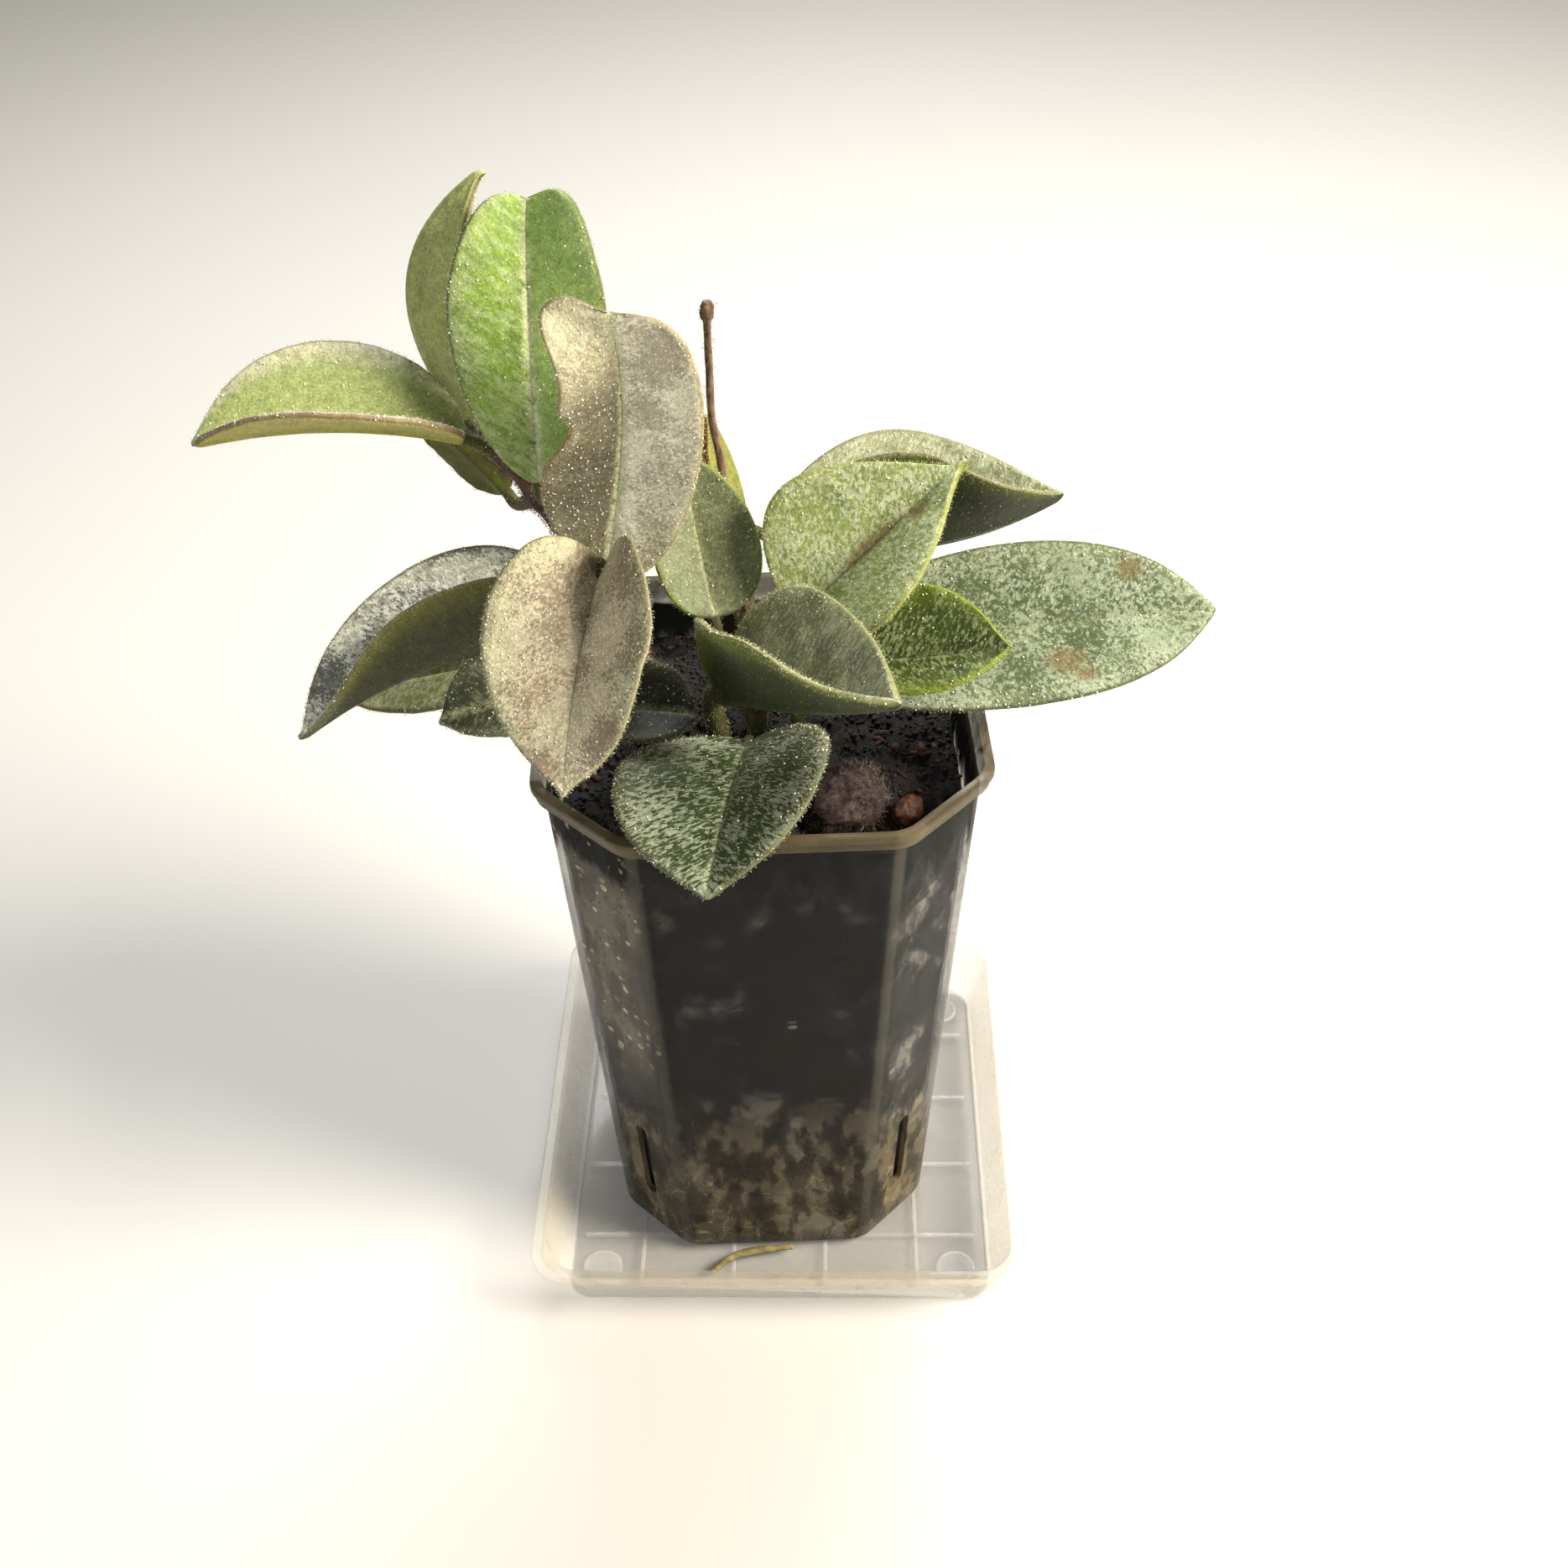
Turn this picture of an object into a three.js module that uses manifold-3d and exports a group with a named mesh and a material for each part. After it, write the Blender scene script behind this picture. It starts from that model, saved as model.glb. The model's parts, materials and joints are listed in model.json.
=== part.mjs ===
// A small potted wax plant: splashed, folded leaves on two thin stems in a clear tapered pot,
// standing in a clear square drip tray. Millimetres, +Z up, the photograph's view is from -Y.
// The origin lies on the tray's underside, under the pot's axis.
import * as THREE from "three";
import { mergeVertices } from "three/addons/utils/BufferGeometryUtils.js";
import Module from "manifold-3d";

const wasm = await Module();
wasm.setup();

// Clearance kept between neighbouring pieces, and that round an eight-sided stem
const GAP = 0.3;
const STEM_GAP = 0.33;

// Splinters smaller than this, which fusing and cutting leave, are smoothed away
const SPLINTER = 0.02;

// Small bevels of lips, and of the tray's and the pot's foot
const EDGE = 0.2;
const FOOT_BEVEL = 0.7;
const FOOT_RISE = 0.8;

// Tray: a square dish with sloping walls and a narrow flat lip
const TRAY_CENTRE = [1.65, -0.05];
const TRAY_TURN = -0.051;
const TRAY_LIP_HALF = 36.8;
const TRAY_LIP_WIDTH = 1.3;
const TRAY_LIP_THICK = 1.0;
const TRAY_HEIGHT = 10.5;
const TRAY_BASE_HALF = 32.6;
const TRAY_WALL = 0.9;
const TRAY_FLOOR = 1.0;
const TRAY_CORNER = 6.0;
const RIB_HEIGHT = 0.3;
const RIB_WIDTH = 0.7;
const RIB_END = 1.5;
const RIB_OFFSETS = [-21, -7, 7, 21];

// Pot: a square with cut corners, wider at the top, with a rim band
const POT_BASE_Z = 1.6;
const POT_TOP_Z = 90.3;
const RIM_BAND = 2.6;
const RIM_BEAD = 1.0;
const RIM_STEP = 0.4;
const RIM_WIDTH = 1.5;
const RIM_HALF = 30;
const RIM_CUT = 12;
const POT_TOP_HALF = 28.4;
const POT_TOP_CUT = 11.4;
const POT_BASE_HALF = 23.2;
const POT_BASE_CUT = 9.8;
const POT_WALL = 0.9;
const POT_FLOOR = 1.1;
const POT_CORNER = 2.2;
const SLOT_Z = [10, 26];
const SLOT_WIDTH = 2.2;
const SLOT_DEPTH = 6;

// Soil: fills the pot to a little under the rim, and dips at the wall
const SOIL_TOP_Z = 82.3;
const SOIL_BUMP = 1.1;
const SOIL_DIP = 0.8;
const SOIL_RINGS = [0.97, 0.82, 0.64, 0.46, 0.28, 0.1];

// Things that lie on the soil: balls stretched to three radii, with dents as a share of them
const CLUMP = {
  radii: [5.9, 5.2, 4.2], centre: [10.2, -15.6, 84.2], turn: 0.2, dent: 0.1, seed: 0.7, detail: 3,
};
const PEBBLE = {
  radii: [2.5, 1.8, 1.9], centre: [18.7, -17.3, 83.8], turn: 0.9, dent: 0.05, seed: 2.2, detail: 2,
};

// Leaf blades
const BLADE_MIDRIB = 1.3;
const BLADE_MARGIN = 0.85;
const BLADE_ROWS = 12;
const BLADE_COLUMNS = 3;
const BLADE_END = 0.35;
const PETIOLE = 0.95;
const PETIOLE_END = 0.09;
const OUTLINE = [0.6, 0.65];
const STEM_SIDES = 8;
const STEM_STEPS = 3;
const THIN_SIDES = 6;
const THIN_STEPS = 2;

// Stems: points along the middle, with the radius at each
const MAIN_STEM = [
  [-11.5, 1.0, 68, 1.6],
  [-12.5, 0.0, 81, 1.6],
  [-15.0, -2.0, 93.8, 1.5],
  [-19.5, -4.0, 110.8, 1.6],
  [-26.3, 0.0, 122.7, 1.5],
  [-32.4, 0.0, 130.8, 1.0],
];
const SIDE_STEM = [
  [0.2, 3.0, 68, 1.5],
  [-0.4, 3.0, 82, 1.5],
  [-0.8, 3.0, 94, 1.5],
  [-0.9, 4.0, 101, 1.3],
];
const BARE_SHOOT = [
  [-1.8, 4.2, 102.4, 0.6],
  [-3.6, 7.6, 110, 0.55],
  [-3.9, 11.0, 119, 0.55],
  [-4.9, 11.0, 126.4, 0.5],
  [-5.0, 11.0, 133.5, 0.5],
  [-5.0, 10.5, 140.0, 0.5],
  [-5.0, 10.5, 140.9, 0.85],
  [-4.9, 10.4, 142.2, 0.9],
  [-4.9, 10.4, 142.9, 0.55],
];
const LOOSE_ROOT = [
  [2.5, -24.3, 2.3, 0.45],
  [-0.1, -24.5, 2.25, 0.5],
  [-4.0, -24.9, 2.2, 0.6],
  [-7.2, -26.0, 2.2, 0.55],
  [-10.1, -28.6, 2.2, 0.4],
];

// Each leaf: the petiole's foot, the blade's base and tip, the way its upper surface faces, its
// width, how far the midrib bows out of the chord at one and two thirds (arch, towards the upper
// surface, and sway, to the left), the fold of the left and right halves from base to tip in
// degrees, the curl added from midrib to margin, and the form of the outline (a small first number
// is a broad base, a small second one a blunt tip). Left is to the left of one who looks from
// base to tip over the upper surface.
const LEAVES = {
  leaf_arching_left: {
    foot: [-31.4, -0.4, 129.4], base: [-34.5, -1.4, 131.8], tip: [-65.6, -4.5, 134.1], face: [0.05, 0, 1],
    width: 22, arch: [1.9, 1.9], left: [40], right: [42], curl: [-8, -8], stem: "main",
  },
  leaf_upright_side: {
    foot: [-32.3, 0.5, 130.6], base: [-34.8, 5.5, 130.4], tip: [-30.4, 9, 160.2], face: [1, -0.15, 0],
    width: 20, arch: [-7, -8], left: [60], right: [48], curl: [-10, -10], stem: "main",
  },
  leaf_upright_broad: {
    foot: [-26.3, 0, 122.7], base: [-26.1, -3, 126.1], tip: [-25.1, 7, 158], face: [-0.05, -1, 0.3],
    width: 19, arch: [1, 4], left: [12, 12, 35], right: [12, 12, 35], curl: [-10, -10],
    form_left: [0.62, 0.4], form_right: [0.55, 0.28], stem: "main",
  },
  leaf_behind: {
    foot: [-26.3, 0, 122.7], base: [-31.1, 5, 120.3], tip: [-41.9, 9, 129.6], face: [0.2, 1, 0.2],
    width: 10, arch: [1, 1], left: [10], right: [10], stem: "main",
  },
  leaf_centre_tall: {
    foot: [-19.5, -4, 110.8], base: [-19, -3.5, 113], tip: [-15.5, -8, 150.8], face: [0, -1, 0.3],
    width: 20.3, arch: [-2, -2], sway: [-1.5, -1.5], left: [10, 10, 22, 40, 45, 0], right: [15],
    form_left: [0.45, 0.18], form_right: [0.5, 0.22], stem: "main",
  },
  leaf_front_left: {
    foot: [-18.6, -3.7, 107.5], base: [-19.1, -12, 117.1], tip: [-23.6, -34, 103.1], face: [-0.1, -0.5, 1],
    width: 25, arch: [2, 3], left: [62, 38, 12], right: [55, 22, 8], curl: [0, -15], lobe: 4,
    form_left: [0.36, 0.75], form_right: [0.36, 0.75], stem: "main",
  },
  leaf_left_high: {
    foot: [-17.9, -3.3, 104.6], base: [-22.7, -6, 106.2], tip: [-58, -14, 97.2], face: [-0.3, 0.1, 1],
    width: 26, arch: [3, 3], left: [80, 74, 30], right: [60, 52, 72],
    form_left: [0.45, 1], form_right: [0.45, 0.85], stem: "main",
  },
  leaf_left_mid: {
    foot: [-16.6, -2.8, 100], base: [-26.7, -2, 100.6], tip: [-56, 0, 93.1], face: [0, -0.3, 1],
    width: 13, arch: [-0.5, -0.5], left: [10], right: [20], stem: "main",
  },
  leaf_low_left: {
    foot: [-15.6, -2.3, 96.2], base: [-25.3, -8, 97.7], tip: [-40.4, -12, 97.1], face: [0.1, -0.3, 1],
    width: 14, arch: [1, 1], left: [5], right: [30], halves: [0.8, 1], stem: "main",
  },
  leaf_low_mid: {
    foot: [-13.6, -0.8, 87.5], base: [-21.0, -9.2, 95.0], tip: [-8.4, -12, 96.2], face: [-0.1, -0.3, 1],
    width: 14, arch: [1, 1], left: [20], right: [20], stem: "main",
  },
  leaf_back_grey: {
    foot: [-0.8, 3, 96.6], base: [-5.5, -2, 104.5], tip: [-9, 8, 123.4], face: [0.15, -1, 0.6],
    width: 16, arch: [-2, -2], left: [55], right: [10],
    form_left: [0.35, 0.65], form_right: [0.4, 0.65], stem: "side",
  },
  leaf_back_edge: {
    foot: [-0.8, 3.2, 97], base: [-2, 14, 99.9], tip: [-5.8, 18, 122.5], face: [-1, -0.2, 0.3],
    width: 14, arch: [-2, -2], left: [40], right: [40], stem: "side",
  },
  leaf_right_broad: {
    foot: [-0.9, 3.8, 99.8], base: [5, -5, 106.2], tip: [26.1, 1, 124.6], face: [-0.3, -1, 0.9],
    width: 27, arch: [0, 0], left: [10], right: [42],
    form_left: [0.6, 1.15], form_right: [0.6, 1.15], stem: "side",
  },
  leaf_right_arch: {
    foot: [-0.8, 3.2, 97.5], base: [1.9, 12, 108.1], tip: [41.2, 15, 110.8], face: [0.05, 0, 1],
    width: 31, arch: [-4, -5], left: [58], right: [85, 85, 60],
    form_left: [0.5, 0.65], form_right: [0.5, 0.65], stem: "side",
  },
  leaf_right_large: {
    foot: [-0.8, 3, 90.5], base: [-0.7, -3, 97.3], tip: [58.8, -3, 104.2], face: [0, -1, 1.2],
    width: 22.5, arch: [0, 0], sway: [1, 0.3], left: [12], right: [12],
    form_left: [0.85, 0.6], form_right: [0.72, 0.55], stem: "side",
  },
  leaf_right_small: {
    foot: [4.9, -10.4, 74], base: [9.1, -8.5, 101.7], tip: [31.2, -12.6, 105.8], face: [0, -0.65, 1],
    width: 15.5, arch: [-1, -1], left: [30], right: [30], halves: [1.25, 0.9], petiole: 0.88,
  },
  leaf_front_right: {
    foot: [-2.8, -6, 74], base: [-4.3, -10, 97.8], tip: [15.3, -35, 115], face: [0, 0, 1],
    width: 30, arch: [-1, -1], left: [60, 60, 50], right: [78, 60, 35], lobe: 2,
    form_left: [0.45, 0.8], form_right: [0.45, 0.8], petiole: 1.4,
  },
  leaf_front_low: {
    foot: [-1, -12, 74], base: [-2, -12, 90.5], tip: [-7.2, -41, 92.2], face: [0, -0.1, 1],
    width: 29, arch: [2, 2], left: [33], right: [8], lobe: 3.4, petiole: 1.1,
  },
};

const MATERIALS = {
  clear_tray: new THREE.MeshStandardMaterial({ color: 0xdcdccf, roughness: 0.15, metalness: 0 }),
  clear_pot: new THREE.MeshStandardMaterial({ color: 0x6d6e6c, roughness: 0.2, metalness: 0 }),
  earth: new THREE.MeshStandardMaterial({ color: 0x2a211c, roughness: 0.95, metalness: 0 }),
  clump: new THREE.MeshStandardMaterial({ color: 0x5b4346, roughness: 1, metalness: 0 }),
  stone: new THREE.MeshStandardMaterial({ color: 0x7a4532, roughness: 0.7, metalness: 0 }),
  brown_stem: new THREE.MeshStandardMaterial({ color: 0x4a3126, roughness: 0.8, metalness: 0 }),
  green_stem: new THREE.MeshStandardMaterial({ color: 0x66702f, roughness: 0.7, metalness: 0 }),
  root: new THREE.MeshStandardMaterial({ color: 0xa39a4a, roughness: 0.7, metalness: 0 }),
};
const LEAF_COLOURS = {
  leaf_arching_left: 0x8fa468,
  leaf_upright_side: 0x6b7a48,
  leaf_upright_broad: 0x7f9a45,
  leaf_behind: 0x59662c,
  leaf_centre_tall: 0x979374,
  leaf_front_left: 0xa69e7e,
  leaf_left_high: 0x7d8468,
  leaf_left_mid: 0x7f8c4c,
  leaf_low_left: 0x44503a,
  leaf_low_mid: 0x3f4b36,
  leaf_back_grey: 0x68745a,
  leaf_back_edge: 0x7c7a48,
  leaf_right_broad: 0x7f8c55,
  leaf_right_arch: 0x768060,
  leaf_right_large: 0x7c8a66,
  leaf_right_small: 0x6b7f3a,
  leaf_front_right: 0x717857,
  leaf_front_low: 0x4f6040,
};

const V = (p) => new THREE.Vector3(p[0], p[1], p[2]);
const radians = THREE.MathUtils.degToRad;

// Closed geometry from points and triangles
function geometryOf(points, triangles) {
  const geometry = new THREE.BufferGeometry();
  const coordinates = points.flatMap((p) => [p.x, p.y, p.z]);
  geometry.setAttribute("position", new THREE.Float32BufferAttribute(coordinates, 3));
  geometry.setIndex(triangles.flat());
  return geometry;
}

// Skin over rings of equal length, with both ends closed
function loft(rings) {
  const count = rings[0].length;
  const points = rings.flat();
  const triangles = [];
  for (let r = 0; r + 1 < rings.length; r++) {
    for (let i = 0; i < count; i++) {
      const a = r * count + i;
      const b = r * count + ((i + 1) % count);
      triangles.push([a, b, b + count], [a, b + count, a + count]);
    }
  }
  const middle = (ring) => ring.reduce((sum, p) => sum.add(p), new THREE.Vector3()).divideScalar(count);
  const last = (rings.length - 1) * count;
  points.push(middle(rings[0]), middle(rings[rings.length - 1]));
  for (let i = 0; i < count; i++) {
    const j = (i + 1) % count;
    triangles.push([points.length - 2, j, i], [points.length - 1, last + i, last + j]);
  }
  return geometryOf(points, triangles);
}

function solid(geometry) {
  const bare = geometry.clone();
  bare.deleteAttribute("normal");
  bare.deleteAttribute("uv");
  const merged = mergeVertices(bare, 1e-5);
  return new wasm.Manifold(new wasm.Mesh({
    numProp: 3,
    vertProperties: new Float32Array(merged.attributes.position.array),
    triVerts: new Uint32Array(merged.index.array),
  }));
}

// Geometry of the body, without loose scraps and splinters
function geometryFrom(body) {
  const whole = body.decompose().reduce((kept, other) => (other.volume() > kept.volume() ? other : kept));
  const mesh = whole.asOriginal().simplify(SPLINTER).getMesh();
  const geometry = new THREE.BufferGeometry();
  geometry.setAttribute("position", new THREE.BufferAttribute(new Float32Array(mesh.vertProperties), 3));
  geometry.setIndex(new THREE.BufferAttribute(new Uint32Array(mesh.triVerts), 1));
  return geometry;
}

// Square ring with cut and rounded corners, anticlockwise from above
function cutSquare(half, cut, round, z, steps = 2) {
  const far = half - cut;
  const corners = [
    [half, -far], [half, far], [far, half], [-far, half],
    [-half, far], [-half, -far], [-far, -half], [far, -half],
  ];
  const ring = [];
  corners.forEach((corner, i) => {
    const before = corners[(i + 7) % 8];
    const after = corners[(i + 1) % 8];
    const towards = (other) => {
      const length = Math.hypot(other[0] - corner[0], other[1] - corner[1]);
      return corner.map((c, k) => c + ((other[k] - c) / length) * Math.min(round, length / 2.2));
    };
    const curve = new THREE.QuadraticBezierCurve(
      new THREE.Vector2(...towards(before)),
      new THREE.Vector2(...corner),
      new THREE.Vector2(...towards(after)),
    );
    curve.getPoints(steps).forEach((p) => ring.push(new THREE.Vector3(p.x, p.y, z)));
  });
  return ring;
}

// Square ring with round corners, anticlockwise from above
function roundSquare(half, radius, z, steps = 4) {
  const ring = [];
  for (let corner = 0; corner < 4; corner++) {
    const turn = corner * Math.PI / 2 - Math.PI / 2;
    const centre = new THREE.Vector2(half - radius, radius - half);
    centre.rotateAround(new THREE.Vector2(), turn + Math.PI / 2);
    for (let k = 0; k <= steps; k++) {
      const angle = turn + (k / steps) * Math.PI / 2;
      const [x, y] = [centre.x + radius * Math.cos(angle), centre.y + radius * Math.sin(angle)];
      ring.push(new THREE.Vector3(x, y, z));
    }
  }
  return ring;
}

// Tube along smooth points, each with its own radius
function tube(stations, sides, steps, extra = 0) {
  const middle = stations.map(V);
  const ends = [middle[0].clone().sub(middle[1]), middle.at(-1).clone().sub(middle.at(-2))];
  middle[0].addScaledVector(ends[0].normalize(), extra);
  middle.at(-1).addScaledVector(ends[1].normalize(), extra);
  const curve = new THREE.CatmullRomCurve3(middle, false, "centripetal");
  const spans = stations.length - 1;
  const rings = [];
  let across = null;
  for (let k = 0; k <= spans * steps; k++) {
    const u = k / (spans * steps);
    const centre = curve.getPoint(u);
    const along = curve.getTangent(u);
    across = across || new THREE.Vector3(0.31, 0.9, 0.2);
    across = across.clone().addScaledVector(along, -across.dot(along)).normalize();
    const up = along.clone().cross(across);
    const low = Math.min(Math.floor(k / steps), spans - 1);
    const radius = THREE.MathUtils.lerp(stations[low][3], stations[low + 1][3], k / steps - low) + extra;
    rings.push(Array.from({ length: sides }, (unused, i) => {
      const angle = (i / sides) * 2 * Math.PI;
      return centre.clone()
        .addScaledVector(across, radius * Math.cos(angle))
        .addScaledVector(up, radius * Math.sin(angle));
    }));
  }
  return loft(rings);
}

// Smooth value through evenly spaced keys at share t
function keyed(keys, t) {
  if (keys.length === 1) {
    return keys[0];
  }
  const place = t * (keys.length - 1);
  const low = Math.min(Math.floor(place), keys.length - 2);
  return THREE.MathUtils.lerp(keys[low], keys[low + 1], THREE.MathUtils.smoothstep(place - low, 0, 1));
}

// Point and frame on a leaf's midrib at share t
function midrib(leaf, t) {
  const base = V(leaf.base);
  const tip = V(leaf.tip);
  const chord = tip.clone().sub(base);
  const along = chord.clone().normalize();
  const up = V(leaf.face).addScaledVector(along, -V(leaf.face).dot(along)).normalize();
  const side = up.clone().cross(along);
  const arch = leaf.arch || [0, 0];
  const sway = leaf.sway || [0, 0];
  const bow = (k) => base.clone().addScaledVector(chord, (k + 1) / 3)
    .addScaledVector(up, arch[k] * 4 / 3).addScaledVector(side, sway[k] * 4 / 3);
  const curve = new THREE.CubicBezierCurve3(base, bow(0), bow(1), tip);
  const tangent = curve.getTangent(t);
  const normal = up.clone().addScaledVector(tangent, -up.dot(tangent)).normalize();
  return { point: curve.getPoint(t), tangent, normal, side: normal.clone().cross(tangent) };
}

function halfWidth(leaf, t, left) {
  const [a, b] = (left ? leaf.form_left : leaf.form_right) || OUTLINE;
  const widest = a / (a + b);
  const top = widest ** a * (1 - widest) ** b;
  const half = (leaf.width / 2) * (t ** a * (1 - t) ** b) / top;
  return Math.max(half * (leaf.halves || [1, 1])[left ? 0 : 1], BLADE_END);
}

// Point of the blade's middle surface and its normal, s from -1 at the right margin to 1 at the left
function bladePoint(leaf, t, s) {
  const frame = midrib(leaf, t);
  const left = s > 0;
  const share = Math.abs(s);
  const half = halfWidth(leaf, t, left);
  const fold = radians(keyed(left ? leaf.left : leaf.right, t));
  const curl = radians((leaf.curl || [0, 0])[left ? 0 : 1]) || 1e-4;
  const out = (Math.sin(fold + curl * share) - Math.sin(fold)) / curl;
  const lift = (Math.cos(fold) - Math.cos(fold + curl * share)) / curl;
  const hand = left ? 1 : -1;
  const back = (leaf.lobe || 0) * (1 - t) ** 3 * share ** 1.5;
  const tilt = share === 0 ? 0 : fold + curl * share;
  return {
    point: frame.point.clone().addScaledVector(frame.side, half * out * hand)
      .addScaledVector(frame.normal, half * lift).addScaledVector(frame.tangent, -back),
    normal: frame.normal.clone().multiplyScalar(Math.cos(tilt))
      .addScaledVector(frame.side, -hand * Math.sin(tilt)),
  };
}

// Blade: both faces split alike, with a rim between them
function blade(leaf) {
  const across = 2 * BLADE_COLUMNS + 1;
  const upper = [];
  const lower = [];
  for (let row = 0; row <= BLADE_ROWS; row++) {
    const t = 0.5 - 0.5 * Math.cos(Math.PI * row / BLADE_ROWS);
    for (let column = 0; column < across; column++) {
      const s = column / BLADE_COLUMNS - 1;
      const { point, normal } = bladePoint(leaf, t, s);
      const half = THREE.MathUtils.lerp(BLADE_MIDRIB, BLADE_MARGIN, Math.abs(s)) / 2;
      upper.push(point.clone().addScaledVector(normal, half));
      lower.push(point.clone().addScaledVector(normal, -half));
    }
  }
  const under = upper.length;
  const triangles = [];
  for (let row = 0; row < BLADE_ROWS; row++) {
    for (let column = 0; column + 1 < across; column++) {
      const a = row * across + column;
      const [b, c, d] = [a + 1, a + across + 1, a + across];
      triangles.push([a, c, b], [a, d, c]);
      triangles.push([under + a, under + b, under + c], [under + a, under + c, under + d]);
    }
  }
  const rim = [];
  for (let column = 0; column < across - 1; column++) {
    rim.push(column);
  }
  for (let row = 0; row < BLADE_ROWS; row++) {
    rim.push(row * across + across - 1);
  }
  for (let column = across - 1; column > 0; column--) {
    rim.push(BLADE_ROWS * across + column);
  }
  for (let row = BLADE_ROWS; row > 0; row--) {
    rim.push(row * across);
  }
  rim.forEach((a, i) => {
    const b = rim[(i + 1) % rim.length];
    triangles.push([a, b, under + b], [a, under + b, under + a]);
  });
  return geometryOf([...upper, ...lower], triangles);
}

// Petiole from the stem into the blade's foot
function petiole(leaf, extra = 0) {
  const radius = leaf.petiole || PETIOLE;
  const base = midrib(leaf, 0);
  const inner = midrib(leaf, PETIOLE_END);
  const foot = V(leaf.foot);
  const reach = Math.min(base.point.distanceTo(foot) * 0.25, 3);
  const bend = base.point.clone().addScaledVector(base.tangent, -reach);
  const station = (p, r) => [p.x, p.y, p.z, r];
  return tube([
    station(foot, radius),
    station(bend, radius),
    station(base.point, radius * 0.9),
    station(inner.point, radius * 0.6),
  ], THIN_SIDES, THIN_STEPS, extra);
}

const root = new THREE.Group();

function piece(name, geometry, material) {
  const mesh = new THREE.Mesh(geometry, material);
  mesh.name = name;
  root.add(mesh);
}

// Drip tray
function trayBody() {
  const lipUnder = TRAY_HEIGHT - TRAY_LIP_THICK;
  const wallTop = TRAY_LIP_HALF - TRAY_LIP_WIDTH;
  const corner = (half) => TRAY_CORNER - (TRAY_LIP_HALF - half) * 0.5;
  const at = (half, z) => roundSquare(half, corner(half), z);
  let body = solid(loft([
    at(TRAY_BASE_HALF - FOOT_BEVEL, 0),
    at(TRAY_BASE_HALF, FOOT_RISE),
    at(wallTop, lipUnder),
    at(TRAY_LIP_HALF, lipUnder + EDGE),
    at(TRAY_LIP_HALF, TRAY_HEIGHT - EDGE),
    at(TRAY_LIP_HALF - EDGE, TRAY_HEIGHT),
    at(wallTop - TRAY_WALL + EDGE, TRAY_HEIGHT),
    at(wallTop - TRAY_WALL, TRAY_HEIGHT - EDGE),
    at(TRAY_BASE_HALF - TRAY_WALL, TRAY_FLOOR + FOOT_RISE),
    at(TRAY_BASE_HALF - TRAY_WALL - FOOT_RISE, TRAY_FLOOR),
  ]));
  // Ribs across the floor, those of one direction a trace lower than the others
  const length = 2 * (TRAY_BASE_HALF - TRAY_WALL - RIB_END);
  const heights = [2 * RIB_HEIGHT, 2 * RIB_HEIGHT - 0.1];
  for (const offset of RIB_OFFSETS) {
    for (const turned of [false, true]) {
      const rib = new THREE.BoxGeometry(length, RIB_WIDTH, heights[Number(turned)]);
      rib.translate(0, offset, TRAY_FLOOR);
      rib.rotateZ(turned ? Math.PI / 2 : 0);
      body = body.add(solid(rib));
    }
  }
  return body;
}
const tray = geometryFrom(trayBody());
tray.rotateZ(TRAY_TURN);
tray.translate(TRAY_CENTRE[0], TRAY_CENTRE[1], 0);
piece("drip_tray", tray, MATERIALS.clear_tray);

// Pot wall at height z: half width and corner cut of the outside
function potAt(z) {
  const share = (z - POT_BASE_Z) / (POT_TOP_Z - RIM_BAND - POT_BASE_Z);
  return [
    THREE.MathUtils.lerp(POT_BASE_HALF, POT_TOP_HALF, share),
    THREE.MathUtils.lerp(POT_BASE_CUT, POT_TOP_CUT, share),
  ];
}

// A ring drawn in by an inset keeps its cut corners as far in as its sides
function insetRing(half, cut, inset, z) {
  return cutSquare(half - inset, cut - inset * (2 - Math.SQRT2), POT_CORNER, z);
}

// Ring a given distance inside the pot's outside at height z
function potRing(z, inset) {
  return insetRing(...potAt(z), inset, z);
}

function potBody() {
  const bandZ = POT_TOP_Z - RIM_BAND;
  const beadZ = POT_TOP_Z - RIM_BEAD;
  const rim = (inset, z) => insetRing(RIM_HALF, RIM_CUT, inset, z);
  let body = solid(loft([
    potRing(POT_BASE_Z, FOOT_BEVEL),
    potRing(POT_BASE_Z + FOOT_RISE, 0),
    potRing(bandZ - RIM_STEP, 0),
    rim(2 * RIM_STEP, bandZ),
    rim(RIM_STEP, beadZ - EDGE),
    rim(0, beadZ),
    rim(0, POT_TOP_Z - EDGE),
    rim(EDGE, POT_TOP_Z),
    rim(RIM_WIDTH, POT_TOP_Z),
    rim(RIM_WIDTH + EDGE, beadZ - EDGE),
    potRing(bandZ - RIM_BEAD, POT_WALL),
    potRing(POT_BASE_Z + POT_FLOOR, POT_WALL),
  ]));
  // One upright drain slot low in each cut corner
  const [half, cut] = potAt((SLOT_Z[0] + SLOT_Z[1]) / 2);
  const reach = (half - cut / 2) * Math.SQRT2;
  for (let corner = 0; corner < 4; corner++) {
    const slot = new THREE.BoxGeometry(SLOT_DEPTH, SLOT_WIDTH, SLOT_Z[1] - SLOT_Z[0]);
    slot.rotateY(Math.atan2(POT_TOP_HALF - POT_BASE_HALF, POT_TOP_Z));
    slot.translate(reach - POT_WALL / 2, 0, (SLOT_Z[0] + SLOT_Z[1]) / 2);
    slot.rotateZ(Math.PI / 4 + corner * Math.PI / 2);
    body = body.subtract(solid(slot));
  }
  return body;
}
piece("pot", geometryFrom(potBody()), MATERIALS.clear_pot);

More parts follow.
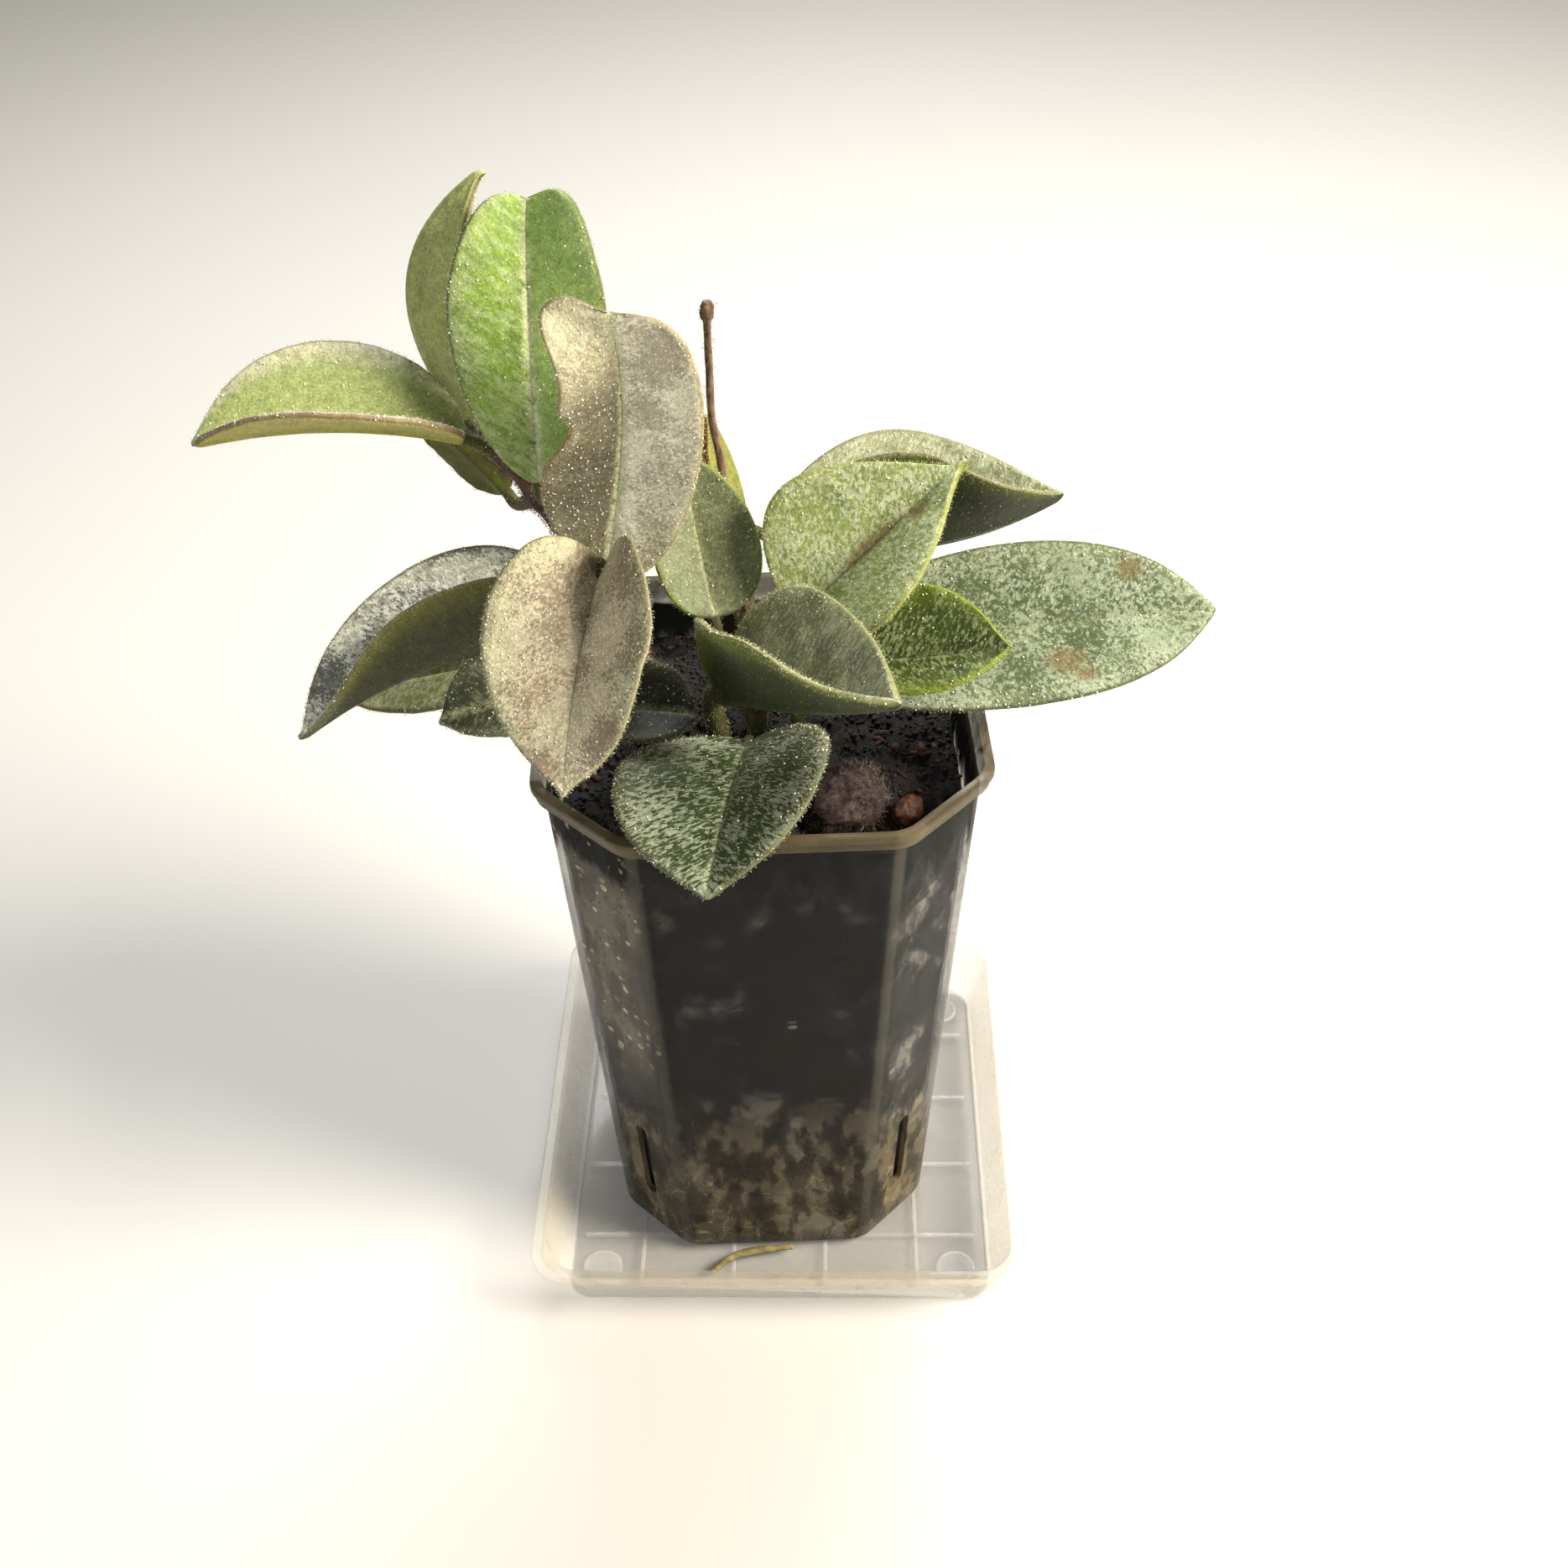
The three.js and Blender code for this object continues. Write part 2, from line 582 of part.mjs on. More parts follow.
// Uneven ground height above its mean, in shares of the bump height
function unevenness(x, y) {
  return 0.5 * Math.sin(0.31 * x + 1.2) * Math.cos(0.27 * y - 0.4)
    + 0.3 * Math.sin(0.63 * x - 0.9 * y + 0.5) + 0.25 * Math.cos(0.83 * x + 0.55 * y + 2.1);
}

// Lump: a ball stretched to three radii, with shallow dents
function lump(shape, grow = 0) {
  const { radii, centre, turn, dent, seed, detail } = shape;
  const ball = new THREE.IcosahedronGeometry(1, detail);
  ball.deleteAttribute("normal");
  ball.deleteAttribute("uv");
  const merged = mergeVertices(ball, 1e-4);
  const place = merged.attributes.position;
  for (let i = 0; i < place.count; i++) {
    const p = new THREE.Vector3().fromBufferAttribute(place, i).normalize();
    const broad = Math.sin(3.1 * p.x + seed) * Math.cos(2.7 * p.y - seed);
    const fine = 0.5 * Math.sin(5.3 * p.z + 4.1 * p.x + seed);
    const [rx, ry, rz] = radii.map((radius) => radius * (1 + dent * (broad + fine)) + grow);
    place.setXYZ(i, p.x * rx, p.y * ry, p.z * rz);
  }
  merged.rotateZ(turn);
  merged.translate(...centre);
  return merged;
}

const STEMS = { main: MAIN_STEM, side: SIDE_STEM };
const fromSoil = Object.values(LEAVES).filter((leaf) => !leaf.stem);
const stemTube = (stations, extra) => tube(stations, STEM_SIDES, STEM_STEPS, extra);

function soilBody() {
  const rings = [];
  const base = POT_BASE_Z + POT_FLOOR + GAP;
  const inset = POT_WALL + GAP;
  rings.push(potRing(base, inset), potRing(SOIL_TOP_Z - 2, inset));
  for (const share of SOIL_RINGS) {
    const dip = share === SOIL_RINGS[0] ? SOIL_DIP : 0;
    rings.push(potRing(SOIL_TOP_Z, inset).map((p) => {
      const x = p.x * share;
      const y = p.y * share;
      return new THREE.Vector3(x, y, SOIL_TOP_Z + SOIL_BUMP * unevenness(x, y) - dip);
    }));
  }
  let body = solid(loft(rings));
  for (const stem of Object.values(STEMS)) {
    body = body.subtract(solid(stemTube(stem, STEM_GAP)));
  }
  for (const leaf of fromSoil) {
    body = body.subtract(solid(petiole(leaf, GAP)));
  }
  return body.subtract(solid(lump(CLUMP, GAP))).subtract(solid(lump(PEBBLE, GAP)));
}
piece("soil", geometryFrom(soilBody()), MATERIALS.earth);
piece("fibre_clump", lump(CLUMP), MATERIALS.clump);
piece("pebble", lump(PEBBLE), MATERIALS.stone);

// Stems
piece("main_stem", stemTube(MAIN_STEM), MATERIALS.brown_stem);
piece("side_stem", stemTube(SIDE_STEM), MATERIALS.green_stem);
piece("bare_shoot", tube(BARE_SHOOT, THIN_SIDES, THIN_STEPS), MATERIALS.brown_stem);
piece("loose_root", tube(LOOSE_ROOT, THIN_SIDES, THIN_STEPS), MATERIALS.root);

// Leaves, each with its petiole trimmed clear of the stem that bears it
for (const [name, leaf] of Object.entries(LEAVES)) {
  let body = solid(blade(leaf)).add(solid(petiole(leaf)));
  if (leaf.stem) {
    body = body.subtract(solid(stemTube(STEMS[leaf.stem], STEM_GAP)));
  }
  const look = { color: LEAF_COLOURS[name], roughness: 0.6, metalness: 0 };
  piece(name, geometryFrom(body), new THREE.MeshStandardMaterial(look));
}

export default root;
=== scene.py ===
# Potted wax plant: the finished surfaces of its leaves, stems, soil, clear pot and clear tray.
# Sizes are in millimetres where a name doesn't say otherwise, and MM turns them into metres.
import json
import math

import bpy
import numpy as np
from mathutils import Matrix, Vector, noise


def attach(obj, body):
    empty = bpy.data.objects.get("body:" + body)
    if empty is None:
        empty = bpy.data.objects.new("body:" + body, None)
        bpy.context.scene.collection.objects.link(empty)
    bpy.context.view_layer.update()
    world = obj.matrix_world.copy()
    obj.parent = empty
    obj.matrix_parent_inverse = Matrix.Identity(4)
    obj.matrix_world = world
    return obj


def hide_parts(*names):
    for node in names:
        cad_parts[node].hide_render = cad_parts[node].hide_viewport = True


MM = 0.001
BODY = "root"

# Camera, fitted to the photograph. Its half width and focal length are in the picture's pixels.
EYE = (-2.2, -212.5, 251.6)
FORWARD = (0.01922, 0.76832, -0.63979)
CAMERA_ROLL = -0.019
PHOTO_HALF = 934.5
FOCAL_LENGTH = 2356
FIELD_OF_VIEW = 2 * math.atan(PHOTO_HALF / FOCAL_LENGTH)

# Studio
FLOOR_HALF = 1500
LIGHT_TARGET = (0, 0, 80)

# Tray
TRAY_CENTRE = (1.65, -0.05)
TRAY_TURN = -0.051
TRAY_LIP_HALF = 36.8
TRAY_LIP_WIDTH = 1.3
TRAY_LIP_THICK = 1.0
TRAY_HEIGHT = 10.5
TRAY_BASE_HALF = 32.6
TRAY_WALL = 0.9
TRAY_FLOOR = 1.0
TRAY_CORNER = 6.0
RIB_HEIGHT = 0.3
RIB_WIDTH = 0.7
RIB_END = 1.5
RIB_OFFSETS = (-21, -7, 7, 21)
DIMPLE_PLACE = 27.0
DIMPLE_RADIUS = 3.0

# Pot
POT_BASE_Z = 1.6
POT_TOP_Z = 90.3
RIM_BAND = 2.6
BAND_Z = POT_TOP_Z - RIM_BAND
WALL_HEIGHT = BAND_Z - POT_BASE_Z
RIM_BEAD = 1.0
RIM_STEP = 0.4
RIM_WIDTH = 1.5
RIM_HALF = 30.0
RIM_CUT = 12.0
POT_TOP_HALF = 28.4
POT_TOP_CUT = 11.4
POT_BASE_HALF = 23.2
POT_BASE_CUT = 9.8
POT_WALL = 0.9
POT_FLOOR = 1.1
POT_CORNER = 2.2
SLOT_Z = (10.0, 26.0)
SLOT_WIDTH = 2.2
EDGE = 0.2
FOOT_BEVEL = 0.7
FOOT_RISE = 0.8

# Marks of use on the pot. Each pair is where a mark begins and where it is at full strength.
POT_USED_Z = (34, 8)
POT_PATCH_Z = (40, 26)
CLOUDY_CORNER = (-15, -18.5)
CLOUDY_Z = (30, 52)
DIRT_START_Z = (76, 83)
DIRT_END_Z = (87.2, 86)
DROP_SIZE = 1.5

# The upright edges' distance from the middle: how it grows with height, and at height 0
EDGE_SLOPE = (POT_TOP_HALF - POT_TOP_CUT - POT_BASE_HALF + POT_BASE_CUT) / WALL_HEIGHT
EDGE_FOOT = POT_BASE_HALF - POT_BASE_CUT - POT_BASE_Z * EDGE_SLOPE

# Marks on the front wall: x, z and how far each reaches along x and z
# The dents are near-black marks with no bump: painted shade in the dents.
WALL_DENT_SHADES = (
    (5.9, 78.9, 1.7, 0.5), (9.5, 65.8, 1.4, 0.45), (11.6, 57.2, 1.2, 0.45),
    (-4.9, 50.2, 1.5, 0.4),
)
WALL_BLOBS = (
    (-16.9, 73.0, 0.5, 0.8), (-15.6, 48.1, 0.5, 0.7), (3.0, 53.3, 0.9, 0.5),
    (17.1, 40.5, 0.6, 0.8),
)

# Soil and what lies on it
GAP = 0.3
SOIL_TOP_Z = 82.3
SOIL_BUMP = 1.1
SOIL_DIP = 0.8
SOIL_POINTS = 170
CLUMP = dict(radii=(5.9, 5.2, 4.2), centre=(10.2, -15.6, 84.2), turn=0.2, dent=0.1, seed=0.7)
PEBBLE = dict(radii=(2.5, 1.8, 1.9), centre=(18.7, -17.3, 83.8), turn=0.9, dent=0.05, seed=2.2)

# Stems: points along the middle, with the radius at each. Leaves whose foot is higher than
# STEM_LEAVES_Z join a stem, the main one to the left of STEMS_PART_X and the side one to its right.
STEM_LEAVES_Z = 80
STEMS_PART_X = -10
STEM_DOWN_Z = 84
MAIN_STEM = (
    (-11.5, 1.0, 68, 1.6), (-12.5, 0.0, 81, 1.6), (-15.0, -2.0, 93.8, 1.5),
    (-19.5, -4.0, 110.8, 1.6), (-26.3, 0.0, 122.7, 1.5), (-32.4, 0.0, 130.8, 1.0),
)
SIDE_STEM = ((0.2, 3.0, 68, 1.5), (-0.4, 3.0, 82, 1.5), (-0.8, 3.0, 94, 1.5), (-0.9, 4.0, 101, 1.3))
BARE_SHOOT = (
    (-1.1, 4.1, 100.7, 0.65), (-3.6, 7.6, 110, 0.55), (-3.9, 11.0, 119, 0.55),
    (-4.9, 11.0, 126.4, 0.5), (-5.0, 11.0, 133.5, 0.5), (-5.0, 10.5, 140.0, 0.5),
    (-5.0, 10.5, 140.9, 0.85), (-4.9, 10.4, 142.2, 0.9), (-4.9, 10.4, 142.9, 0.55),
)
LOOSE_ROOT = (
    (2.5, -24.3, 2.3, 0.45), (-0.1, -24.5, 2.25, 0.5), (-4.0, -24.9, 2.2, 0.6),
    (-7.2, -26.0, 2.2, 0.55), (-10.1, -28.6, 2.2, 0.4),
)

# Leaf blades. TIP_SPAN, TIP_POINT_SPAN, PETIOLE_END and the names with ROUND are shares of the
# blade's length, or of its half width for the margin.
BLADE_MIDRIB = 1.3
BLADE_MARGIN = 0.85
BLADE_END = 0.3
FOOT_ROUND = 0.02
TIP_ROUND = 0.025
MARGIN_ROUND = 0.1
TIP_HOLLOW = 0.4
TIP_SPAN = 0.045
TIP_POINT = 0.7
TIP_POINT_SPAN = 0.02
PETIOLE = 0.95
PETIOLE_END = 0.09
STALK_SPAN = 30.0
OUTLINE = (0.6, 0.65)
BLADE_ROWS = 52
HALF_SHARES = (0, 0.03, 0.07, 0.13, 0.22, 0.34, 0.48, 0.62, 0.75, 0.85, 0.92, 0.96, 0.985, 1)
GROOVE_DEPTH = 0.34
GROOVE_WIDTH = 0.6
KEEL_DEPTH = 0.35
KEEL_WIDTH = 0.95
LEAF_MAP_SPAN = 80.0
LEAF_MAP_START = (0.5, 0.05)
VEIN_SLANT = 0.8

# Colours that more than one leaf has
# PETIOLE_GREEN and PETIOLE_BROWN are darkened in part as painted shade on the petioles.
PETIOLE_GREEN = "4d5926"
PETIOLE_BROWN = "433423"
RIB_PALE = "c9cba0"
EDGE_PALE = "cdc9a8"
FROST_PALE = "f7f4e6"

# Each leaf: the petiole's foot, the blade's base and tip, the way its upper surface faces, its
# width, arch and sway of the midrib, fold of the left and right halves in degrees from base to
# tip, curl towards the margins, and the form of the outline of each half. halves is each half's
# share of the width, lobe how far the foot reaches back beside the petiole, blunt a blade without
# a drawn-out point, peak how far each half rises past its tip, pinch the notches in a margin (half,
# place, spread, depth) and petiole its radius.
LEAVES = {
    "arching_left": dict(
        foot=(-31.4, -0.4, 129.4), base=(-34.5, -1.4, 131.8), tip=(-65.6, -4.5, 134.1),
        face=(0.05, 0, 1), width=22, arch=(1.9, 1.9), left=(40,), right=(42,), curl=(-8, -8)),
    "upright_side": dict(
        foot=(-32.3, 0.5, 130.6), base=(-34.8, 5.5, 130.4), tip=(-30.4, 9, 160.2), face=(1, -0.15, 0),
        width=20, arch=(-7, -8), left=(60,), right=(48,), curl=(-10, -10), form_left=(0.6, 0.9),
        form_right=(0.6, 0.9)),
    "upright_broad": dict(
        foot=(-26.3, 0, 122.7), base=(-26.1, -3, 126.1), tip=(-25.1, 7, 158), face=(-0.05, -1, 0.3),
        width=19, arch=(1, 4), left=(12, 12, 35), right=(12, 12, 35), curl=(-10, -10),
        form_left=(0.62, 0.4), form_right=(0.55, 0.28), blunt=True, peak=(0.5, 0.7)),
    "behind": dict(
        foot=(-26.3, 0, 122.7), base=(-31.1, 5, 120.3), tip=(-41.9, 9, 129.6), face=(0.2, 1, 0.2),
        width=10, arch=(1, 1), left=(10,), right=(10,)),
    "centre_tall": dict(
        foot=(-19.5, -4, 110.8), base=(-19, -3.5, 113), tip=(-15.5, -8, 150.8), face=(0, -1, 0.3),
        width=20.3, arch=(-2, -2), sway=(-1.5, -1.5), left=(10, 10, 22, 40, 45, 0), right=(15,),
        form_left=(0.34, 0.18), form_right=(0.36, 0.22), blunt=True, peak=(3.2, 0.3),
        pinch=(("left", 0.64, 0.09, 0.28), ("left", 0.86, 0.07, 0.14), ("left", 0.3, 0.15, -0.08))),
    "front_left": dict(
        foot=(-18.6, -3.7, 107.5), base=(-19.1, -12, 117.1), tip=(-23.6, -34, 103.1),
        face=(-0.1, -0.5, 1), width=25, arch=(2, 3), left=(62, 38, 12), right=(55, 22, 8),
        curl=(0, -15), lobe=4, form_left=(0.36, 0.75), form_right=(0.36, 0.75)),
    "left_high": dict(
        foot=(-17.9, -3.3, 104.6), base=(-22.7, -6, 106.2), tip=(-58, -14, 97.2), face=(-0.3, 0.1, 1),
        width=26, arch=(3, 3), left=(80, 74, 30), right=(60, 52, 72), halves=(0.82, 1),
        form_left=(0.45, 1), form_right=(0.45, 0.85)),
    "left_mid": dict(
        foot=(-16.6, -2.8, 100), base=(-26.7, -2, 100.6), tip=(-56, 0, 93.1), face=(0, -0.3, 1),
        width=13, arch=(-0.5, -0.5), left=(10,), right=(20,)),
    "low_left": dict(
        foot=(-15.6, -2.3, 96.2), base=(-25.3, -8, 97.7), tip=(-40.4, -12, 97.1), face=(0.1, -0.3, 1),
        width=14, arch=(1, 1), left=(5,), right=(30,), halves=(0.8, 1)),
    "low_mid": dict(
        foot=(-13.6, -0.8, 87.5), base=(-21.0, -9.2, 95.0), tip=(-8.4, -12, 96.2), face=(-0.1, -0.3, 1),
        width=14, arch=(1, 1), left=(20,), right=(20,)),
    "back_grey": dict(
        foot=(-0.8, 3, 96.6), base=(-5.5, -2, 104.5), tip=(-9, 8, 123.4), face=(0.15, -1, 0.6),
        width=16, arch=(-2, -2), left=(38,), right=(10,), form_left=(0.35, 0.65),
        form_right=(0.4, 0.65)),
    "back_edge": dict(
        foot=(-0.8, 3.2, 97), base=(-2, 14, 99.9), tip=(-5.8, 18, 122.5), face=(-1, -0.2, 0.3),
        width=14, arch=(-2, -2), left=(40,), right=(40,)),
    "right_broad": dict(
        foot=(-0.9, 3.8, 99.8), base=(5, -5, 106.2), tip=(26.1, 1, 124.6), face=(-0.3, -1, 0.9),
        width=27, left=(10,), right=(42,), form_left=(0.6, 1.15), form_right=(0.6, 1.15)),
    "right_arch": dict(
        foot=(-0.8, 3.2, 97.5), base=(1.9, 12, 108.1), tip=(41.2, 15, 110.8), face=(0.05, 0, 1),
        width=31, arch=(-4, -5), left=(58,), right=(85, 85, 60), form_left=(0.5, 0.65),
        form_right=(0.5, 0.65)),
    "right_large": dict(
        foot=(-0.8, 3, 90.5), base=(-0.7, -3, 97.3), tip=(58.8, -3, 104.2), face=(0, -1, 1.2),
        width=22.5, sway=(1, 0.3), left=(12,), right=(12,), form_left=(0.85, 0.6),
        form_right=(0.72, 0.55)),
    "right_small": dict(
        foot=(4.9, -10.4, 74), base=(9.1, -8.5, 101.7), tip=(31.2, -12.6, 105.8), face=(0, -0.65, 1),
        width=15.5, arch=(-1, -1), left=(30,), right=(30,), halves=(1.25, 0.9), petiole=0.88),
    "front_right": dict(
        foot=(-2.8, -6, 74), base=(-4.3, -10, 97.8), tip=(15.3, -35, 115), face=(0, 0, 1), width=30,
        arch=(-1, -1), left=(60, 60, 50), right=(78, 60, 35), lobe=2, form_left=(0.45, 0.8),
        form_right=(0.45, 0.8), petiole=1.4),
    "front_low": dict(
        foot=(-1, -12, 74), base=(-2, -12, 90.5), tip=(-7.2, -41, 92.2), face=(0, -0.1, 1), width=29,
        arch=(2, 2), left=(33,), right=(8,), lobe=3.4, petiole=1.1),
}

# The look of each leaf. Colours are hexadecimal: green and shade for the ground, splash for the pale
# splashes, right for the half with negative distance across, edge for the paler band inside the
# margin, rim for the margin itself, foot and tip for the blade's two ends, speck for the specks,
# under and under_edge for the lower side, stain for the stains (place across and along, and reach,
# in mm). cover is the share that the splashes take, grain their width in mm, streak their length
# over their width, soft how soft they end, patches how far they gather and strength how strongly
# they show. specks, band, rib and frost are how strongly those show, and dew is how many beads
# stand away from the margin.
USUAL_LOOK = dict(
    cover=0.5, streak=1.5, soft=0.16, strength=0.6, patches=0.35, specks=0.2, rib=0.2, frost=0.4,
    band=0.1, dew=0.12)
LOOKS = {
    "arching_left": dict(
        green="8b9a57", shade="7c8a4a", splash="b3bd88", grain=0.8, soft=0.2, specks=0.1, rib=0.3,
        rim="7c6350", under="b0a83c", band=0.75, edge="d3cdb0", right="9aa465", dew=0.2),
    "upright_side": dict(
        green="8f9a56", shade="7d8848", splash="aab37c", grain=0.7, streak=1.4, soft=0.2, rim="7a6a50",
        under="b3bb74", band=0.25, dew=0.1),
    "upright_broad": dict(
        green="7f9a35", shade="66822c", splash="b3c389", grain=0.75, streak=3.0, specks=0.05, rib=0.8,
        rim="5d6240", under="75832e", band=0.15, right="97b35e", foot="7a9438"),
    "behind": dict(
        green="5c5f20", shade="4a4b16", splash="73753a", cover=0.3, grain=0.8, rim="5e3a22",
        under="5a5c18"),
    # centre_tall: the pale right half and the lighter tip are partly painted light, and the darker green
    # of the other half is partly painted shade.
    "centre_tall": dict(
        green="5f5d4b", shade="504e3f", splash="87846f", grain=0.4, streak=1.8, specks=0.5,
        speck="6d5f46", rib=0.9, rim="94835c", under="8a8850", band=0.35, edge="a9a382", foot="7a7858",
        tip="d2caa6", dew=0.6, frost=0.8, right="faf5da"),
    # front_left: the darker right half is partly painted shade, and the lighter green of the other half
    # is partly painted light.
    "front_left": dict(
        green="cabf9c", shade="b5ab8b", splash="e2d8b6", grain=0.42, streak=1.8, specks=0.7,
        speck="755f4c", rim="8f8c6a", under="83853a", band=0.6, edge="b6b88e", foot="a0997c", dew=0.55,
        frost=0.7, right="aea68b", under_edge="8f9448"),
    # left_high: its near-black under colour is partly painted shade on the underside.
    "left_high": dict(
        green="b5b7a2", shade="8f9184", splash="eeefe4", grain=0.55, streak=1.8, soft=0.14, specks=0.8,
        speck="3f3e33", rib=0.3, rim="6f6d4c", under="33360f", band=0.2, edge="a0a268", dew=0.3,
        strength=0.85, under_edge="67682c"),
    "left_mid": dict(
        green="7d8248", shade="6d7238", splash="b9bd92", grain=0.55, streak=2.0, soft=0.12, specks=0.3,
        rib=0.3, rim="5c5530", under="5f611f"),
    # low_left: its dark greens are partly painted shade from the leaves above.
    "low_left": dict(
        green="2f351d", shade="293018", splash="6f7052", cover=0.36, grain=0.45, streak=2.6, soft=0.08,
        specks=0.1, rib=0.3, rim="5c5e3c", under="262a10"),
    # low_mid: its near-black greens are partly painted shade from the leaves above.
    "low_mid": dict(
        green="1b200f", shade="12160a", splash="3f4130", cover=0.34, grain=0.45, streak=2.6, soft=0.08,
        specks=0.1, rib=0.3, rim="4b4d30", under="1d2009"),
    "back_grey": dict(
        green="6d7454", shade="5c6346", splash="8f9674", grain=0.4, soft=0.2, specks=0.4, rib=0.5,
        rim="7d8c32", under="858526", band=0.25, edge="7d8c42"),
    "back_edge": dict(
        green="7d7c34", shade="68661f", splash="8c8a48", cover=0.4, grain=0.6, soft=0.14, rib=0.3,
        rim="80421c", under="8a8a3e"),
    "right_broad": dict(
        green="8f9c56", shade="77854a", splash="c3caa6", cover=0.52, grain=0.5, soft=0.07, strength=0.8,
        rib=0.1, rim="8d9644", under="6a7526", band=0.3, edge="b6b97c", stain="6f5a2e",
        stains=((0.2, 13.5, 1.7, 6.0), (-1.6, 21.0, 1.2, 2.2))),
    # right_arch: its near-black under colour is partly painted shade on the underside.
    "right_arch": dict(
        green="8b926c", shade="747b58", splash="c4cab2", grain=0.6, streak=2.2, soft=0.14, specks=0.35,
        rim="7f7a58", under="1a230a", band=0.2, under_edge="4f5b20"),
    "right_large": dict(
        green="5c6a44", shade="4b5836", splash="a6b196", cover=0.52, grain=0.5, streak=1.2, soft=0.07,
        strength=0.7, specks=0.25, rib=0.12, rim="4c5234", under="465022", stain="6b5a2c",
        stains=((6.3, 50.0, 1.6, 2.0), (-5.5, 40.5, 2.2, 3.2), (-7.6, 43.0, 1.2, 1.8)), dew=0.1,
        patches=0.6),
    "right_small": dict(
        green="43541a", shade="303e10", splash="9ca676", cover=0.44, grain=0.42, streak=2.2, soft=0.07,
        strength=0.75, specks=0.1, rim="76871e", under="5a6a18", band=0.6, edge="76871e"),
    # front_right: its near-black under colour is partly painted shade on the underside.
    "front_right": dict(
        green="8a8e70", shade="747860", splash="bcbea0", grain=0.42, streak=5.0, soft=0.1, strength=0.7,
        specks=0.6, speck="484a38", rim="7f8350", under="2a360a", band=0.35, edge="9a9e62",
        under_edge="6f7c2e"),
    "front_low": dict(
        green="30401b", shade="26330f", splash="8f987f", cover=0.48, grain=0.32, streak=3.4, soft=0.03,
        strength=0.9, specks=0.1, rim="5a6142", under="3b441a", frost=0.2, patches=0.5),
}

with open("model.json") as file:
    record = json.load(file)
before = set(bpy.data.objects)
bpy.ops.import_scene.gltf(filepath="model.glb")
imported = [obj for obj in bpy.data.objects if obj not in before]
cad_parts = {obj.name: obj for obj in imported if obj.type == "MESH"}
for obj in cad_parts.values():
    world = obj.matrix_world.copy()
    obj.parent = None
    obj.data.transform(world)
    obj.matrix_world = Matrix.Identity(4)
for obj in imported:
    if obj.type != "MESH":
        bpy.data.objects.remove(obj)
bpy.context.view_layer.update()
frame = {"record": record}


def colour(code):
    """Linear red, green, blue and alpha of a hexadecimal screen colour."""
    shares = [int(code[i:i + 2], 16) / 255 for i in (0, 2, 4)]
    return tuple(s / 12.92 if s <= 0.04045 else ((s + 0.055) / 1.055) ** 2.4 for s in shares) + (1.0,)


def dimmed(code, share):
    return tuple(value * share for value in colour(code)[:3]) + (1.0,)


def unit(vectors):
    return vectors / np.linalg.norm(vectors, axis=-1, keepdims=True)


def smoothstep(value, low, high):
    share = np.clip((value - low) / (high - low), 0, 1)
    return share * share * (3 - 2 * share)


# Meshes

def new_mesh(name, points, faces, sharp=None):
    """Mesh from points in mm, smooth apart from edges sharper than the angle in degrees."""
    mesh = bpy.data.meshes.new(name)
    mesh.from_pydata((np.asarray(points, float) * MM).tolist(), [], [list(map(int, f)) for f in faces])
    mesh.validate()
    mesh.shade_smooth()
    if sharp is not None:
        mesh.set_sharp_from_angle(angle=math.radians(sharp))
    return mesh


def new_object(name, mesh, *materials):
    made = bpy.data.objects.new(name, mesh)
    bpy.context.scene.collection.objects.link(made)
    mesh.name = name
    for material in materials:
        mesh.materials.append(material)
    return made


def add_piece(name, points, faces, material, slot, node, sharp=None):
    """Finished piece from points in mm, and its mesh."""
    mesh = new_mesh(name, points, faces, sharp)
    finished(new_object(name, mesh, material), slot, node)
    return mesh


def evaluated(source, name):
    """Plain object with what the source's modifiers make, in place of the source."""
    graph = bpy.context.evaluated_depsgraph_get()
    mesh = bpy.data.meshes.new_from_object(source.evaluated_get(graph))
    bpy.data.objects.remove(source)
    return new_object(name, mesh)


def finished(piece, slot, *nodes):
    """The piece rides on the one body and stands for these nodes, whose parts are hidden. The slot is not
    used.
    """
    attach(piece, BODY)
    if nodes:
        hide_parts(*nodes)


def set_point_values(mesh, name, values):
    values = np.asarray(values, np.float32)
    if values.ndim == 1:
        mesh.attributes.new(name, "FLOAT", "POINT").data.foreach_set("value", values)
    else:
        mesh.attributes.new(name, "FLOAT_VECTOR", "POINT").data.foreach_set("vector", values.ravel())


def grown_mesh(name, points, faces, growth):
    """Mesh that small things are scattered on, with how densely they grow at each point."""
    mesh = new_mesh(name, points, faces)
    set_point_values(mesh, "growth", growth)
    return mesh


def loft_faces(rings, count, closed_ends=True):
    """Faces of a skin over rings of equal length. The end points come after the rings' points."""
    faces = []
    for r in range(rings - 1):
        for i in range(count):
            a, b = r * count + i, r * count + (i + 1) % count
            faces.append((a, b, b + count, a + count))
    if closed_ends:
        first, last = rings * count, (rings - 1) * count
        for i in range(count):
            j = (i + 1) % count
            faces += [(first, j, i), (first + 1, last + i, last + j)]
    return faces


def loft(rings):
    rings = np.asarray(rings, float)
    ends = [rings[0].mean(axis=0), rings[-1].mean(axis=0)]
    points = np.vstack([rings.reshape(-1, 3), ends])
    return points, loft_faces(len(rings), rings.shape[1])


